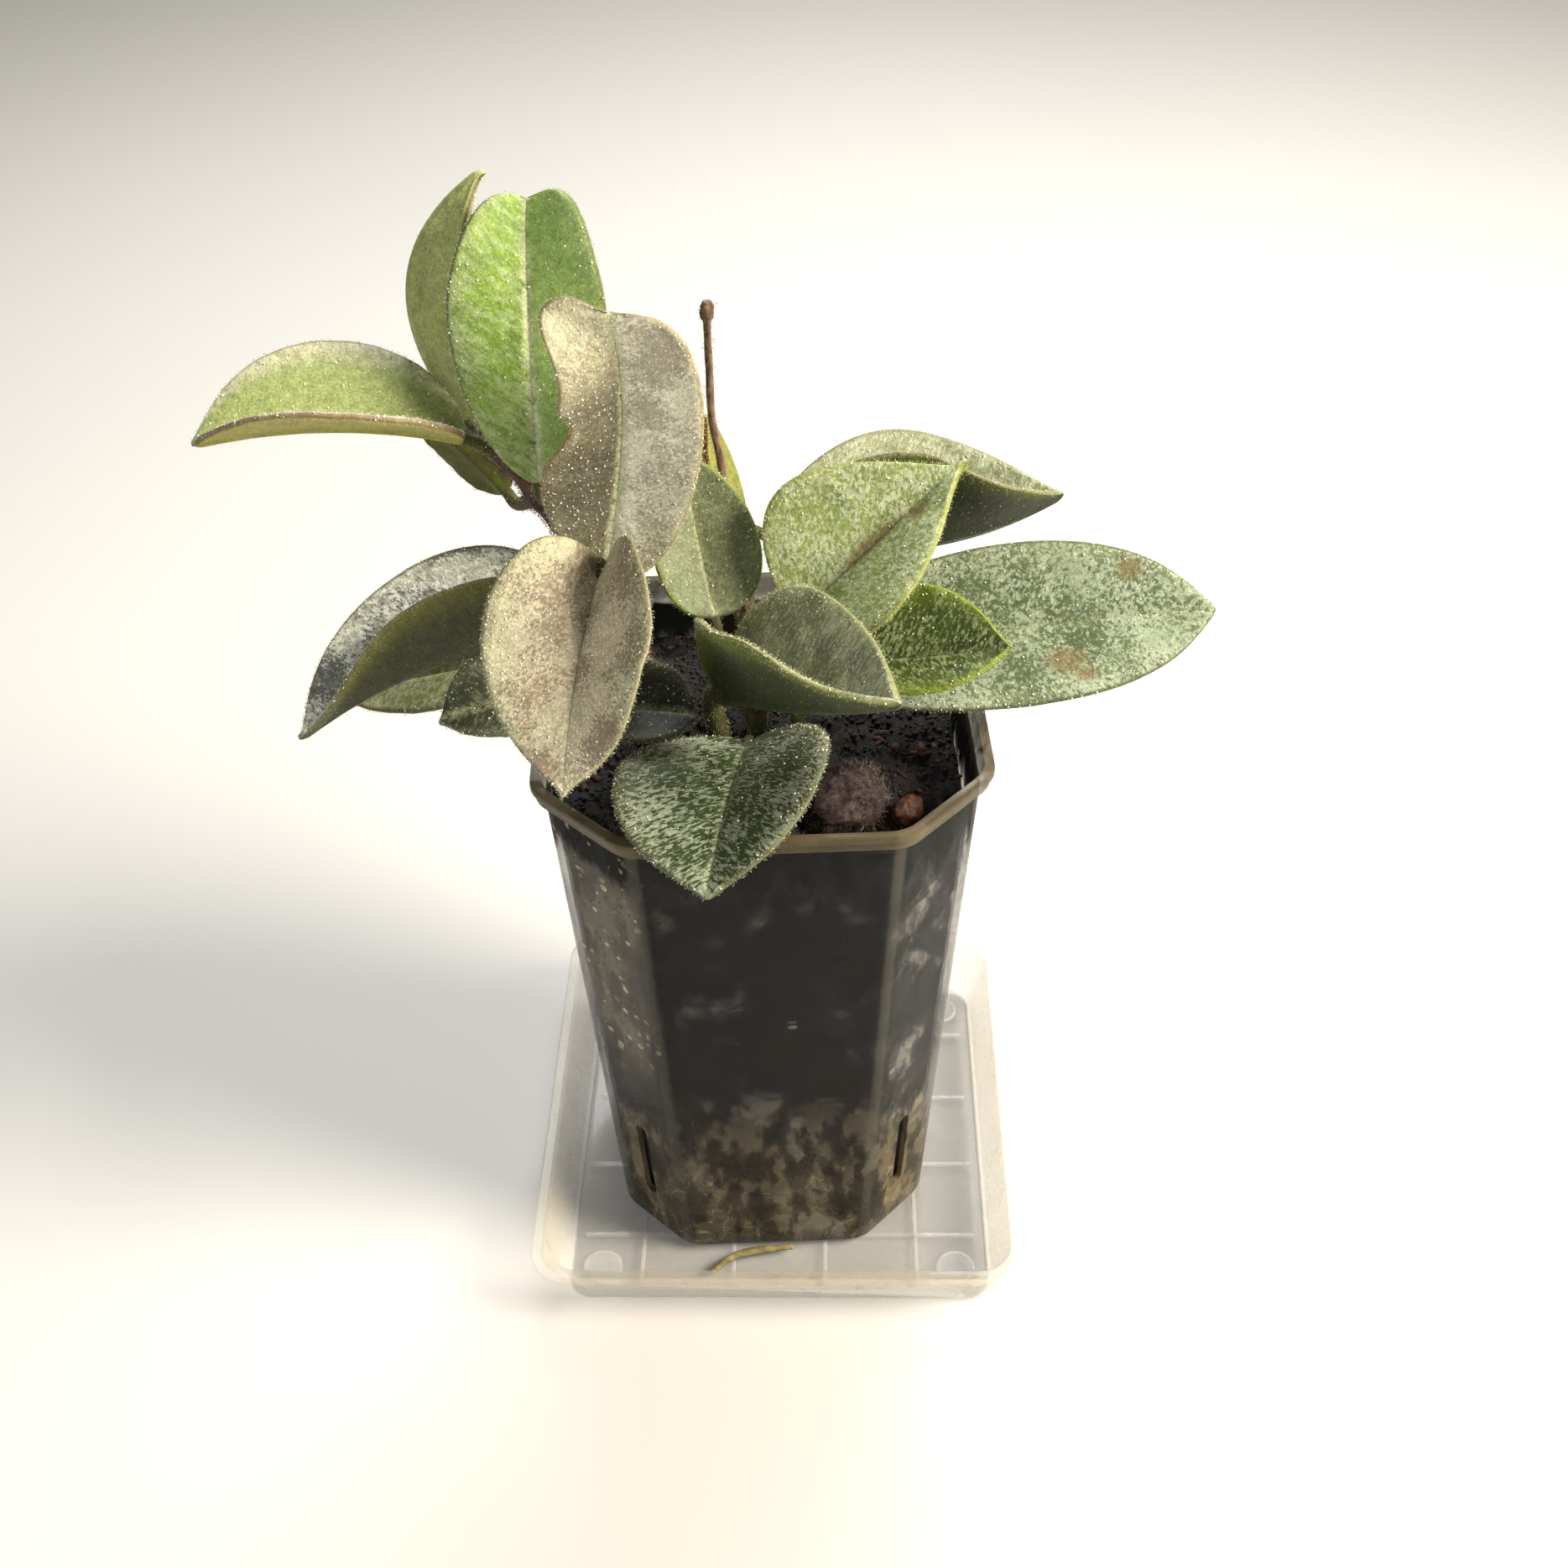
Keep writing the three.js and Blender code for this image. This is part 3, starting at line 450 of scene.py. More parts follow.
def cut_square(half, cut, corner, z, steps=6):
    """Square ring with cut and rounded corners, anticlockwise from above."""
    far = half - cut
    corners = np.array([
        (half, -far), (half, far), (far, half), (-far, half),
        (-half, far), (-half, -far), (-far, -half), (far, -half),
    ])
    ring = []
    for i, here in enumerate(corners):
        ends = []
        for other in (corners[i - 1], corners[(i + 1) % 8]):
            length = np.linalg.norm(other - here)
            ends.append(here + (other - here) / length * min(corner, length / 2.2))
        for u in np.linspace(0, 1, steps + 1):
            p = (1 - u) ** 2 * ends[0] + 2 * u * (1 - u) * here + u * u * ends[1]
            ring.append((p[0], p[1], z))
    return np.array(ring)


def round_square(half, radius, z, steps=10):
    """Square ring with round corners, anticlockwise from above."""
    ring = []
    for quarter in range(4):
        turn = quarter * math.pi / 2
        centre = Matrix.Rotation(turn, 2) @ Vector((half - radius, radius - half))
        for angle in np.linspace(turn - math.pi / 2, turn, steps + 1):
            ring.append((centre.x + radius * math.cos(angle), centre.y + radius * math.sin(angle), z))
    return np.array(ring)


def smooth_path(stations, steps):
    """Points and radii along the smooth curve through the stations."""
    data = np.array(stations, float)
    points = data[:, :3]
    guide = np.vstack([2 * points[0] - points[1], points, 2 * points[-1] - points[-2]])
    found = []
    for i in range(len(points) - 1):
        p0, p1, p2, p3 = guide[i:i + 4]
        d0, d1, d2 = (math.sqrt(np.linalg.norm(b - a)) for a, b in ((p0, p1), (p1, p2), (p2, p3)))
        t1 = ((p1 - p0) / d0 - (p2 - p0) / (d0 + d1) + (p2 - p1) / d1) * d1
        t2 = ((p2 - p1) / d1 - (p3 - p1) / (d1 + d2) + (p3 - p2) / d2) * d1
        last = i == len(points) - 2
        for u in np.linspace(0, 1, steps + 1)[:None if last else -1]:
            place = (2 * u**3 - 3 * u**2 + 1) * p1 + (u**3 - 2 * u**2 + u) * t1
            place = place + (3 * u**2 - 2 * u**3) * p2 + (u**3 - u**2) * t2
            found.append((*place, data[i, 3] * (1 - u) + data[i + 1, 3] * u))
    return np.array(found)


def tube(stations, sides, steps, swell=None):
    """Tube along smooth stations. swell gives the share added to the radius at a point and angle."""
    path = smooth_path(stations, steps)
    along = unit(np.gradient(path[:, :3], axis=0))
    across = np.array((0.31, 0.9, 0.2))
    rings = []
    angles = np.arange(sides) / sides * 2 * math.pi
    for k, (x, y, z, radius) in enumerate(path):
        across = unit(across - along[k] * (across @ along[k]))
        up = np.cross(along[k], across)
        spread = np.full(sides, radius)
        if swell:
            spread = spread * (1 + swell(k / (len(path) - 1), angles, (x, y, z)))
        ring = np.outer(spread * np.cos(angles), across) + np.outer(spread * np.sin(angles), up)
        rings.append(ring + (x, y, z))
    return loft(rings)


def joined(parts):
    """One set of points and faces from several."""
    points, faces, start = [], [], 0
    for part_points, part_faces in parts:
        points.append(part_points)
        faces += [tuple(i + start for i in face) for face in part_faces]
        start += len(part_points)
    return np.vstack(points), faces


# Leaf form

def keyed(keys, t):
    """Smooth values through evenly spaced keys at shares t."""
    keys = np.asarray(keys, float)
    if len(keys) == 1:
        return np.full_like(t, keys[0])
    place = t * (len(keys) - 1)
    low = np.minimum(place.astype(int), len(keys) - 2)
    share = smoothstep(place - low, 0, 1)
    return keys[low] * (1 - share) + keys[low + 1] * share


def midrib(leaf, t):
    """Points, tangents, normals and sides along the midrib at shares t."""
    t = np.atleast_1d(np.asarray(t, float))[:, None]
    base, tip = np.array(leaf["base"], float), np.array(leaf["tip"], float)
    chord = tip - base
    along = unit(chord)
    face = np.array(leaf["face"], float)
    up = unit(face - along * (face @ along))
    side = np.cross(up, along)
    arch, sway = leaf.get("arch", (0, 0)), leaf.get("sway", (0, 0))
    one, two = (base + chord * (k + 1) / 3 + (up * arch[k] + side * sway[k]) * 4 / 3 for k in (0, 1))
    u = 1 - t
    point = u**3 * base + 3 * u * u * t * one + 3 * u * t * t * two + t**3 * tip
    tangent = unit(3 * u * u * (one - base) + 6 * u * t * (two - one) + 3 * t * t * (tip - two))
    normal = unit(up - tangent * (tangent @ up)[:, None])
    return point, tangent, normal, np.cross(normal, tangent)


def half_width(leaf, t, left):
    a, b = leaf.get("form_left" if left else "form_right", OUTLINE)
    widest = a / (a + b)
    share = t**a * (1 - t)**b / (widest**a * (1 - widest)**b)
    share = share * leaf.get("halves", (1, 1))[0 if left else 1]
    if not leaf.get("blunt"):
        share = share * (1 - TIP_HOLLOW * np.exp((t - 1) / TIP_SPAN))
    for side, place, spread, depth in leaf.get("pinch", ()):
        if side == ("left" if left else "right"):
            share = share * (1 - depth * np.exp(-(((t - place) / spread) ** 2)))
    return np.maximum(leaf["width"] / 2 * share, BLADE_END)


def ripple(t, share, seed):
    """Slow wave of the blade, stronger to the margin, and shallow puckers, in mm."""
    wave = 0.22 * share**2 * np.sin(2 * math.pi * (1.3 * t + 0.37 * seed) + 2.2 * share)
    pucker = 0.08 * np.sin(23 * t + 1.9 * seed) * np.cos(7.5 * share + 11 * t + seed)
    fine = 0.035 * np.sin(57 * t - 23 * share + 5 * seed)
    return (wave + (pucker + fine) * np.sqrt(share)) * smoothstep(t, 0, 0.2)


def folded(leaf, seed, t, shares):
    """Middle surface of a blade: its points, the ways it faces and the distances across it in mm."""
    point, tangent, normal, side = midrib(leaf, t)
    middle = np.zeros((len(t), len(shares), 3))
    facing = np.zeros_like(middle)
    across = np.zeros((len(t), len(shares)))
    for column, s in enumerate(shares):
        left, share = s > 0, abs(s)
        hand = 1 if left else -1
        half = half_width(leaf, t, left)
        fold = np.radians(keyed(leaf["left" if left else "right"], t))
        curl = math.radians(leaf.get("curl", (0, 0))[0 if left else 1]) or 1e-4
        out = (np.sin(fold + curl * share) - np.sin(fold)) / curl
        lift = (np.cos(fold) - np.cos(fold + curl * share)) / curl
        back = leaf.get("lobe", 0) * (1 - t) ** 3 * share**1.5
        peak = leaf.get("peak", (0, 0))[0 if left else 1] * share**2 * smoothstep(t, 0.8, 0.95)
        back = back - peak * np.minimum(1, half / (0.2 * leaf["width"]))
        tilt = fold + curl * share if share else np.zeros_like(t)
        middle[:, column] = point + side * (half * out * hand)[:, None] + normal * (half * lift)[:, None]
        middle[:, column] -= tangent * back[:, None]
        facing[:, column] = normal * np.cos(tilt)[:, None] - side * (hand * np.sin(tilt))[:, None]
        across[:, column] = half * s
    middle += facing * ripple(t[:, None], np.abs(shares)[None, :], seed)[..., None]
    if not leaf.get("blunt"):
        point_out = TIP_POINT * np.exp((t - 1) / TIP_POINT_SPAN)
        middle += (tangent * point_out[:, None])[:, None, :]
    return middle, facing, across


def rounded(distance):
    """Height of a quarter circle, from 1 at distance 0 to 0 at distance 1."""
    return np.sqrt(1 - np.clip(distance, 0, 1) ** 2)


def blade(leaf, seed):
    """Closed blade with a groove over the midrib, a keel under it and a rounded margin.
    Returns points, faces, map places in mm (across, along) and (margin share, length share, side)."""
    t = 0.5 - 0.5 * np.cos(math.pi * np.arange(BLADE_ROWS + 1) / BLADE_ROWS)
    shares = np.array([-s for s in HALF_SHARES[:0:-1]] + list(HALF_SHARES))
    middle, facing, across = folded(leaf, seed, t, shares)
    steps = np.linalg.norm(np.diff(midrib(leaf, t)[0], axis=0), axis=1)
    length = np.concatenate([[0], np.cumsum(steps)])
    reach = np.abs(shares)[None, :]
    ends = rounded((t + TIP_ROUND - 1) / TIP_ROUND) * rounded((FOOT_ROUND - t) / FOOT_ROUND)
    rounding = rounded((reach + MARGIN_ROUND - 1) / MARGIN_ROUND) * ends[:, None]
    half = (BLADE_MIDRIB + (BLADE_MARGIN - BLADE_MIDRIB) * reach) / 2 * rounding
    distance = np.abs(across)
    fade = (1 - 0.8 * t[:, None] ** 2) * ends[:, None]
    groove = GROOVE_DEPTH * np.exp(-((distance / GROOVE_WIDTH) ** 2)) * fade
    keel = KEEL_DEPTH * np.exp(-((distance / KEEL_WIDTH) ** 2)) * fade
    upper = half - groove * smoothstep(t, 0.02, 0.15)[:, None]
    lower = half + keel
    rows, columns = across.shape
    top = middle + facing * upper[..., None]
    under = middle - facing * lower[..., None]
    border = np.zeros((rows, columns), bool)
    border[[0, -1], :] = True
    border[:, [0, -1]] = True
    top[border] = middle[border]
    top_index = np.arange(rows * columns).reshape(rows, columns)
    under_index = top_index.copy()
    under_index[~border] = rows * columns + np.arange((~border).sum())
    points = np.vstack([top.reshape(-1, 3), under[~border]])
    faces = []
    for r in range(rows - 1):
        for c in range(columns - 1):
            a, b, d, e = (r, c), (r, c + 1), (r + 1, c + 1), (r + 1, c)
            faces.append((top_index[a], top_index[e], top_index[d], top_index[b]))
            faces.append((under_index[a], under_index[b], under_index[d], under_index[e]))
    place = np.stack([across, np.broadcast_to(length[:, None], across.shape)], -1)
    parts = np.stack([
        np.broadcast_to(reach, across.shape), np.broadcast_to(t[:, None], across.shape), border * 0.5,
    ], -1)
    below = parts[~border]
    below[:, 2] = 1
    places = np.vstack([place.reshape(-1, 2), place[~border]])
    return points, faces, places, np.vstack([parts.reshape(-1, 3), below])


def petiole(leaf):
    """Petiole from the stem into the blade's foot, thickest at the stem and thinning into the blade."""
    radius = leaf.get("petiole", PETIOLE)
    point, tangent, normal, _ = midrib(leaf, [0, PETIOLE_END])
    point = point - normal * np.array([[0.15], [0.42]])
    foot = np.array(leaf["foot"], float)
    reach = min(np.linalg.norm(point[0] - foot) * 0.25, 3)
    bend = point[0] - tangent[0] * reach
    stations = [
        (*foot, radius * 1.1), (*bend, radius * 0.9), (*point[0], radius * 0.8),
        (*point[1], radius * 0.4),
    ]
    return tube(stations, 16, 8)


def leaf_mesh(name, leaf, inner_dew, seed):
    """Leaf with the map and the values that its material and its down read."""
    points, faces, places, parts = blade(leaf, seed)
    stalk_points, stalk_faces = petiole(leaf)
    all_points, all_faces = joined([(points, faces), (stalk_points, stalk_faces)])
    mesh = new_mesh(name, all_points, all_faces)
    base = np.array(leaf["base"])
    along = (stalk_points - base) @ unit(np.array(leaf["foot"]) - base)
    zero = np.zeros_like(along)
    stalk_parts = np.stack([zero, -np.maximum(along, 0.5) / STALK_SPAN, zero], -1)
    stalk_places = np.stack([np.full_like(along, STALK_SPAN), along], -1)
    set_point_values(mesh, "leaf_part", np.vstack([parts, stalk_parts]))
    margin = smoothstep(parts[:, 0], 0.86, 0.97) * smoothstep(parts[:, 1], 0.02, 0.1)
    set_point_values(mesh, "down", np.concatenate([0.06 + 0.94 * margin, np.full(len(along), 0.5)]))
    near_margin = smoothstep(parts[:, 0], 0.8, 0.95)
    upper = (parts[:, 2] < 0.75) * (inner_dew + (1 - inner_dew) * near_margin)
    set_point_values(mesh, "dew", np.concatenate([upper, np.full(len(along), 0.02)]))
    map_layer = mesh.uv_layers.new(name="leaf_map")
    corner_points = np.zeros(len(mesh.loops), np.int32)
    mesh.loops.foreach_get("vertex_index", corner_points)
    map_points = np.vstack([places, stalk_places]) / LEAF_MAP_SPAN + LEAF_MAP_START
    map_layer.data.foreach_set("uv", map_points[corner_points].astype(np.float32).ravel())
    return mesh


# Shader nodes

class Shading:
    """Short calls that add nodes to a material or a node group."""

    def __init__(self, tree):
        self.tree = tree

    def feed(self, socket, value):
        if isinstance(value, bpy.types.NodeSocket):
            self.tree.links.new(value, socket)
        elif value is not None:
            socket.default_value = value

    def add(self, kind, inputs=(), **settings):
        node = self.tree.nodes.new(kind)
        for key, value in settings.items():
            setattr(node, key, value)
        for key, value in dict(inputs).items():
            self.feed(node.inputs[key], value)
        return node

    def maths(self, operation, first, second=None, clamp=False):
        inputs = {0: first, 1: second}
        return self.add("ShaderNodeMath", inputs, operation=operation, use_clamp=clamp).outputs[0]

    def times(self, first, second):
        return self.maths("MULTIPLY", first, second)

    def plus(self, first, second):
        return self.maths("ADD", first, second)

    def less(self, first, second):
        return self.maths("SUBTRACT", first, second)

    def over(self, first, second):
        return self.maths("DIVIDE", first, second)

    def size_of(self, value):
        return self.maths("ABSOLUTE", value)

    def raised(self, value, *rows):
        """The value with each mask times its amount added, up to 1."""
        for mask, amount in rows:
            value = self.maths("ADD", value, self.times(mask, amount), clamp=True)
        return value

    def ramp(self, value, low, high, start=0.0, end=1.0):
        """Smooth step of the value from low to high, from start to end."""
        return self.add(
            "ShaderNodeMapRange",
            {"Value": value, "From Min": low, "From Max": high, "To Min": start, "To Max": end},
            interpolation_type="SMOOTHSTEP",
        ).outputs["Result"]

    def ramp_mm(self, value, low, high, start=0.0, end=1.0):
        return self.ramp(value, low * MM, high * MM, start, end)

    def mix(self, share, first, second, blend="MIX"):
        """Mix of two colours, each of them a socket or a hexadecimal code."""
        node = self.add("ShaderNodeMix", {0: share}, data_type="RGBA", blend_type=blend)
        for place, value in ((6, first), (7, second)):
            self.feed(node.inputs[place], colour(value) if isinstance(value, str) else value)
        return node.outputs[2]

    def layer(self, base, code, mask, share=1.0):
        """The colour over the base where the mask is high."""
        return self.mix(mask if share == 1.0 else self.times(mask, share), base, code)

    def noise(self, vector, scale, detail=2.0, roughness=0.5, distortion=0.0):
        return self.add("ShaderNodeTexNoise", {
            "Vector": vector, "Scale": scale, "Detail": detail, "Roughness": roughness,
            "Distortion": distortion,
        }).outputs["Fac"]

    def lumps(self, vector, size, **settings):
        """Noise on a place in metres, with lumps of the size in mm."""
        return self.noise(vector, 1 / (size * MM), **settings)

    def cells(self, vector, scale):
        """Distance from the middle of each cell, and a random number for each cell."""
        found = self.add("ShaderNodeTexVoronoi", {"Vector": vector, "Scale": scale}).outputs
        return found["Distance"], self.split(found["Color"])[0]

    def place(self):
        """Place on the piece, in metres."""
        return self.add("ShaderNodeTexCoord").outputs["Object"]

    def split(self, vector):
        return self.add("ShaderNodeSeparateXYZ", {"Vector": vector}).outputs

    def vector(self, x, y, z):
        return self.add("ShaderNodeCombineXYZ", {"X": x, "Y": y, "Z": z}).outputs[0]

    def vector_maths(self, operation, first, second):
        return self.add("ShaderNodeVectorMath", {0: first, 1: second}, operation=operation).outputs[0]

    def grit(self, place, size):
        """Fine grain of the size in mm."""
        return self.placed(GRIT, {"Place": place, "Size": size})

    def placed(self, tree, inputs):
        return self.add("ShaderNodeGroup", inputs, node_tree=tree).outputs

    def dress(self, surface, base, roughness, height=None, strength=0.0, depth=0.0):
        """Joins the colour, the roughness and a bump of the depth in mm to a material's surface."""
        self.feed(surface["Base Color"], base)
        self.feed(surface["Roughness"], roughness)
        if height is not None:
            bump = {"Height": height, "Strength": strength, "Distance": depth * MM}
            self.feed(surface["Normal"], self.add("ShaderNodeBump", bump).outputs["Normal"])


def add_inputs(tree, inputs):
    """Named input sockets of a node group, each given as (name, kind, default)."""
    for label, kind, default in inputs:
        kind = "NodeSocket" + kind
        socket = tree.interface.new_socket(name=label, in_out="INPUT", socket_type=kind)
        if default is not None:
            socket.default_value = default


def new_group(name, inputs, outputs):
    """Shader node group with named inputs, and with values as named outputs."""
    tree = bpy.data.node_groups.new(name, "ShaderNodeTree")
    add_inputs(tree, inputs)
    for label in outputs:
        tree.interface.new_socket(name=label, in_out="OUTPUT", socket_type="NodeSocketFloat")
    shading = Shading(tree)
    return shading, shading.add("NodeGroupInput").outputs, shading.add("NodeGroupOutput").inputs


def new_material(name, **fixed):
    """Material with a Principled shader. fixed values go on its own sockets."""
    material = bpy.data.materials.new(name)
    material.use_nodes = True
    surface = material.node_tree.nodes["Principled BSDF"].inputs
    for key, value in fixed.items():
        surface[key.replace("_", " ").title().replace("Ior", "IOR")].default_value = value
    return material, Shading(material.node_tree), surface


def splash_group():
    """Splashes that run along the side veins: slanted from the midrib to the tip on both halves."""
    shading, given, wanted = new_group(
        "vein splashes",
        [
            ("Place", "Vector", None), ("Grain", "Float", 0.6), ("Streak", "Float", 2.0),
            ("Cover", "Float", 0.5), ("Softness", "Float", 0.05), ("Patches", "Float", 0.35),
            ("Offset", "Float", 0.0),
        ],
        ["Mask", "Noise"],
    )
    x, y, _ = shading.split(given["Place"])
    off = shading.size_of(x)
    hand = shading.times(shading.maths("SIGN", x), 9.0)
    over = shading.over(shading.less(y, shading.times(off, VEIN_SLANT)), given["Grain"])
    run = shading.plus(off, shading.times(y, VEIN_SLANT))
    run = shading.over(run, shading.times(given["Grain"], given["Streak"]))
    spot = shading.vector(over, run, shading.plus(hand, given["Offset"]))
    fine = shading.noise(spot, 0.75, detail=3.0, roughness=0.62, distortion=0.4)
    moved = shading.vector_maths("ADD", given["Place"], shading.vector(given["Offset"], 0.0, 0.0))
    broad = shading.noise(moved, 0.13)
    value = shading.plus(fine, shading.times(shading.less(broad, 0.5), given["Patches"]))
    middle = shading.plus(shading.times(given["Cover"], -0.5), 0.76)
    low = shading.less(middle, given["Softness"])
    high = shading.plus(middle, given["Softness"])
    shading.feed(wanted["Mask"], shading.ramp(value, low, high))
    shading.feed(wanted["Noise"], fine)
    return shading.tree


def grit_group():
    """Fine grain on Object coordinates, as a value round one half and as sparse dots."""
    inputs = [("Place", "Vector", None), ("Size", "Float", 0.5)]
    shading, given, wanted = new_group("grit", inputs, ["Value", "Dots"])
    scale = shading.over(1.0, shading.times(given["Size"], MM))
    shading.feed(wanted["Value"], shading.noise(given["Place"], scale, detail=4.0, roughness=0.65))
    distance, number = shading.cells(given["Place"], scale)
    kept = shading.ramp(number, 0.5, 0.75)
    dots = shading.ramp(distance, 0.3, 0.16)
    shading.feed(wanted["Dots"], shading.times(dots, kept))
    return shading.tree


SPLASH = splash_group()
GRIT = grit_group()


def round_spot(shading, place, middle, reach):
    """Distance of a place from the middle of a round spot, as a share of its reach."""
    shares = [
        shading.over(shading.less(part, centre), size)
        for part, centre, size in zip(shading.split(place), middle, reach)
    ]
    return shading.maths("SQRT", shading.plus(*[shading.times(share, share) for share in shares]))


def leaf_upper(shading, look, place, part, splash, specks, mottle, broad):
    """Upper side: two greens, splashes, a paler edge, specks, the midrib and stains."""
    margin, length, _ = part
    ground = shading.mix(shading.ramp(broad, 0.35, 0.65), look["green"], look["shade"])
    for end, low, high in (("foot", 0.42, 0.04), ("tip", 0.66, 0.97)):
        if end in look:
            ground = shading.layer(ground, look[end], shading.ramp(length, low, high), 0.85)
    upper = shading.layer(ground, look["splash"], splash["Mask"], look["strength"])
    x = shading.split(place)[0]
    # On centre_tall this colour is partly painted light, and on front_left partly painted shade, against
    # the green of the other half.
    if "right" in look:
        upper = shading.layer(upper, look["right"], shading.ramp(x, 0.4, -0.4), 0.8)
    edge = shading.ramp(splash["Noise"], 0.3, 0.6, 0.5, 1.0)
    edge = shading.times(shading.ramp(margin, 0.6, 0.93), edge)
    upper = shading.layer(upper, look.get("edge", EDGE_PALE), edge, look["band"])
    upper = shading.layer(upper, look.get("speck", look["shade"]), specks["Mask"], look["specks"])
    rib = shading.ramp(shading.size_of(x), 1.3, 0.25)
    rib = shading.times(rib, shading.ramp(splash["Noise"], 0.3, 0.55))
    upper = shading.layer(upper, RIB_PALE, rib, look["rib"])
    for over, along, wide, tall in look.get("stains", ()):
        away = shading.plus(round_spot(shading, place, (over, along), (wide, tall)), 0.6)
        away = shading.less(away, shading.times(mottle, 1.2))
        upper = shading.layer(upper, look["stain"], shading.ramp(away, 1.15, 0.4), 0.75)
    return upper


def leaf_material(name, look):
    """Waxy leaf: green with pale splashes along the side veins, a plainer underside and a downy rim."""
    material, shading, surface = new_material(
        name, sheen_weight=0.1, sheen_roughness=0.4, sheen_tint=colour("e6e4cc"), specular_ior_level=0.3)
    map_place = shading.add("ShaderNodeUVMap", uv_map="leaf_map").outputs["UV"]
    centred = shading.vector_maths("SUBTRACT", map_place, (*LEAF_MAP_START, 0.0))
    place = shading.vector_maths("MULTIPLY", centred, (LEAF_MAP_SPAN, LEAF_MAP_SPAN, 1.0))
    values = shading.add("ShaderNodeAttribute", attribute_name="leaf_part").outputs["Vector"]
    part = shading.split(values)
    margin, length, side = part
    thing = shading.place()

    splash = shading.placed(SPLASH, {
        "Place": place, "Grain": look["grain"], "Streak": look["streak"], "Cover": look["cover"],
        "Softness": look["soft"], "Patches": look["patches"]})
    specks = shading.placed(SPLASH, {
        "Place": place, "Grain": 0.27, "Streak": 1.7, "Cover": 0.42, "Softness": 0.07, "Patches": 1.2,
        "Offset": 31.0})
    broad = shading.noise(place, 0.16)
    mottle = shading.noise(place, 0.8, detail=4.0, roughness=0.7)
    fine = shading.grit(thing, 0.3)["Value"]

    upper = leaf_upper(shading, look, place, part, splash, specks, mottle, broad)
    frost = shading.grit(thing, 0.52)["Dots"]
    frost = shading.times(frost, shading.ramp(specks["Noise"], 0.4, 0.6, 0.2, 1.0))
    upper = shading.layer(upper, FROST_PALE, frost, look["frost"])
    below = shading.mix(shading.ramp(broad, 0.3, 0.7), look["under"], dimmed(look["under"], 0.7))
    below = shading.layer(below, look["green"], fine, 0.12)
    under_edge = look.get("under_edge", look["under"])
    below = shading.layer(below, under_edge, shading.ramp(margin, 0.5, 1.0), 0.8)
    body = shading.mix(shading.ramp(side, 0.55, 0.8), upper, below)
    rim = shading.times(shading.ramp(margin, 0.95, 0.985), shading.ramp(fine, 0.3, 0.6, 0.5, 0.9))
    body = shading.layer(body, look["rim"], rim)
    # The petiole's two colours are partly painted shade.
    stalk = shading.mix(shading.ramp(fine, 0.4, 0.62), PETIOLE_GREEN, PETIOLE_BROWN)
    body = shading.mix(shading.ramp(length, 0.02, -0.01), body, stalk)
    grain = shading.times(shading.less(fine, 0.5), 1.7)
    tone = shading.times(shading.ramp(mottle, 0.3, 0.7, 0.8, 1.18), shading.plus(grain, 1.0))
    body = shading.mix(1.0, body, shading.vector(tone, tone, tone), blend="MULTIPLY")
    gloss = shading.plus(shading.ramp(splash["Mask"], 0, 1, 0.5, 0.62), shading.times(grain, 0.3))
    height = shading.plus(shading.times(splash["Noise"], 0.5), fine)
    height = shading.plus(height, shading.times(specks["Noise"], 0.4))
    shading.dress(surface, body, gloss, height, 0.6, 0.16)
    return material


def bark_material(name, dark, light):
    """Downy stem: two browns or greens in streaks, with grit."""
    material, shading, surface = new_material(name, sheen_weight=0.3, sheen_roughness=0.5)
    thing = shading.place()
    stretched = shading.vector_maths("MULTIPLY", thing, (1.0, 1.0, 0.35))
    streak = shading.lumps(stretched, 0.8, detail=4.0, roughness=0.65)
    grit = shading.grit(thing, 0.3)
    body = shading.mix(shading.ramp(streak, 0.38, 0.66), dark, light)
    body = shading.layer(body, "b39f76", grit["Dots"], 0.5)
    height = shading.plus(streak, shading.times(grit["Value"], 0.5))
    shading.dress(surface, body, shading.ramp(streak, 0.3, 0.7, 0.85, 0.6), height, 0.7, 0.2)
    return material


def corner_edge(shading, one, other, far):
    """Upright edges of the pot's cut corners, where one distance from the middle equals far."""
    away = shading.size_of(shading.less(shading.size_of(one), far))
    outside = shading.ramp_mm(shading.size_of(other), 19, 20)
    return shading.times(shading.ramp_mm(away, 1.1, 0.4), outside)


def corner_middle(shading, x, y):
    """Distance from the line down the middle of a cut corner, in metres and times a root of two."""
    return shading.size_of(shading.less(shading.size_of(x), shading.size_of(y)))


def wall_marks(shading, x, y, z, marks):
    """Flat marks on the pot's front wall."""
    place = shading.vector(x, z, 0.0)
    found = 0.0
    for over, height, wide, tall in marks:
        away = round_spot(shading, place, (over * MM, height * MM), (wide * MM, tall * MM))
        found = shading.maths("MAXIMUM", found, shading.ramp(away, 1.0, 0.6))
    return shading.times(found, shading.ramp_mm(y, -19, -20))


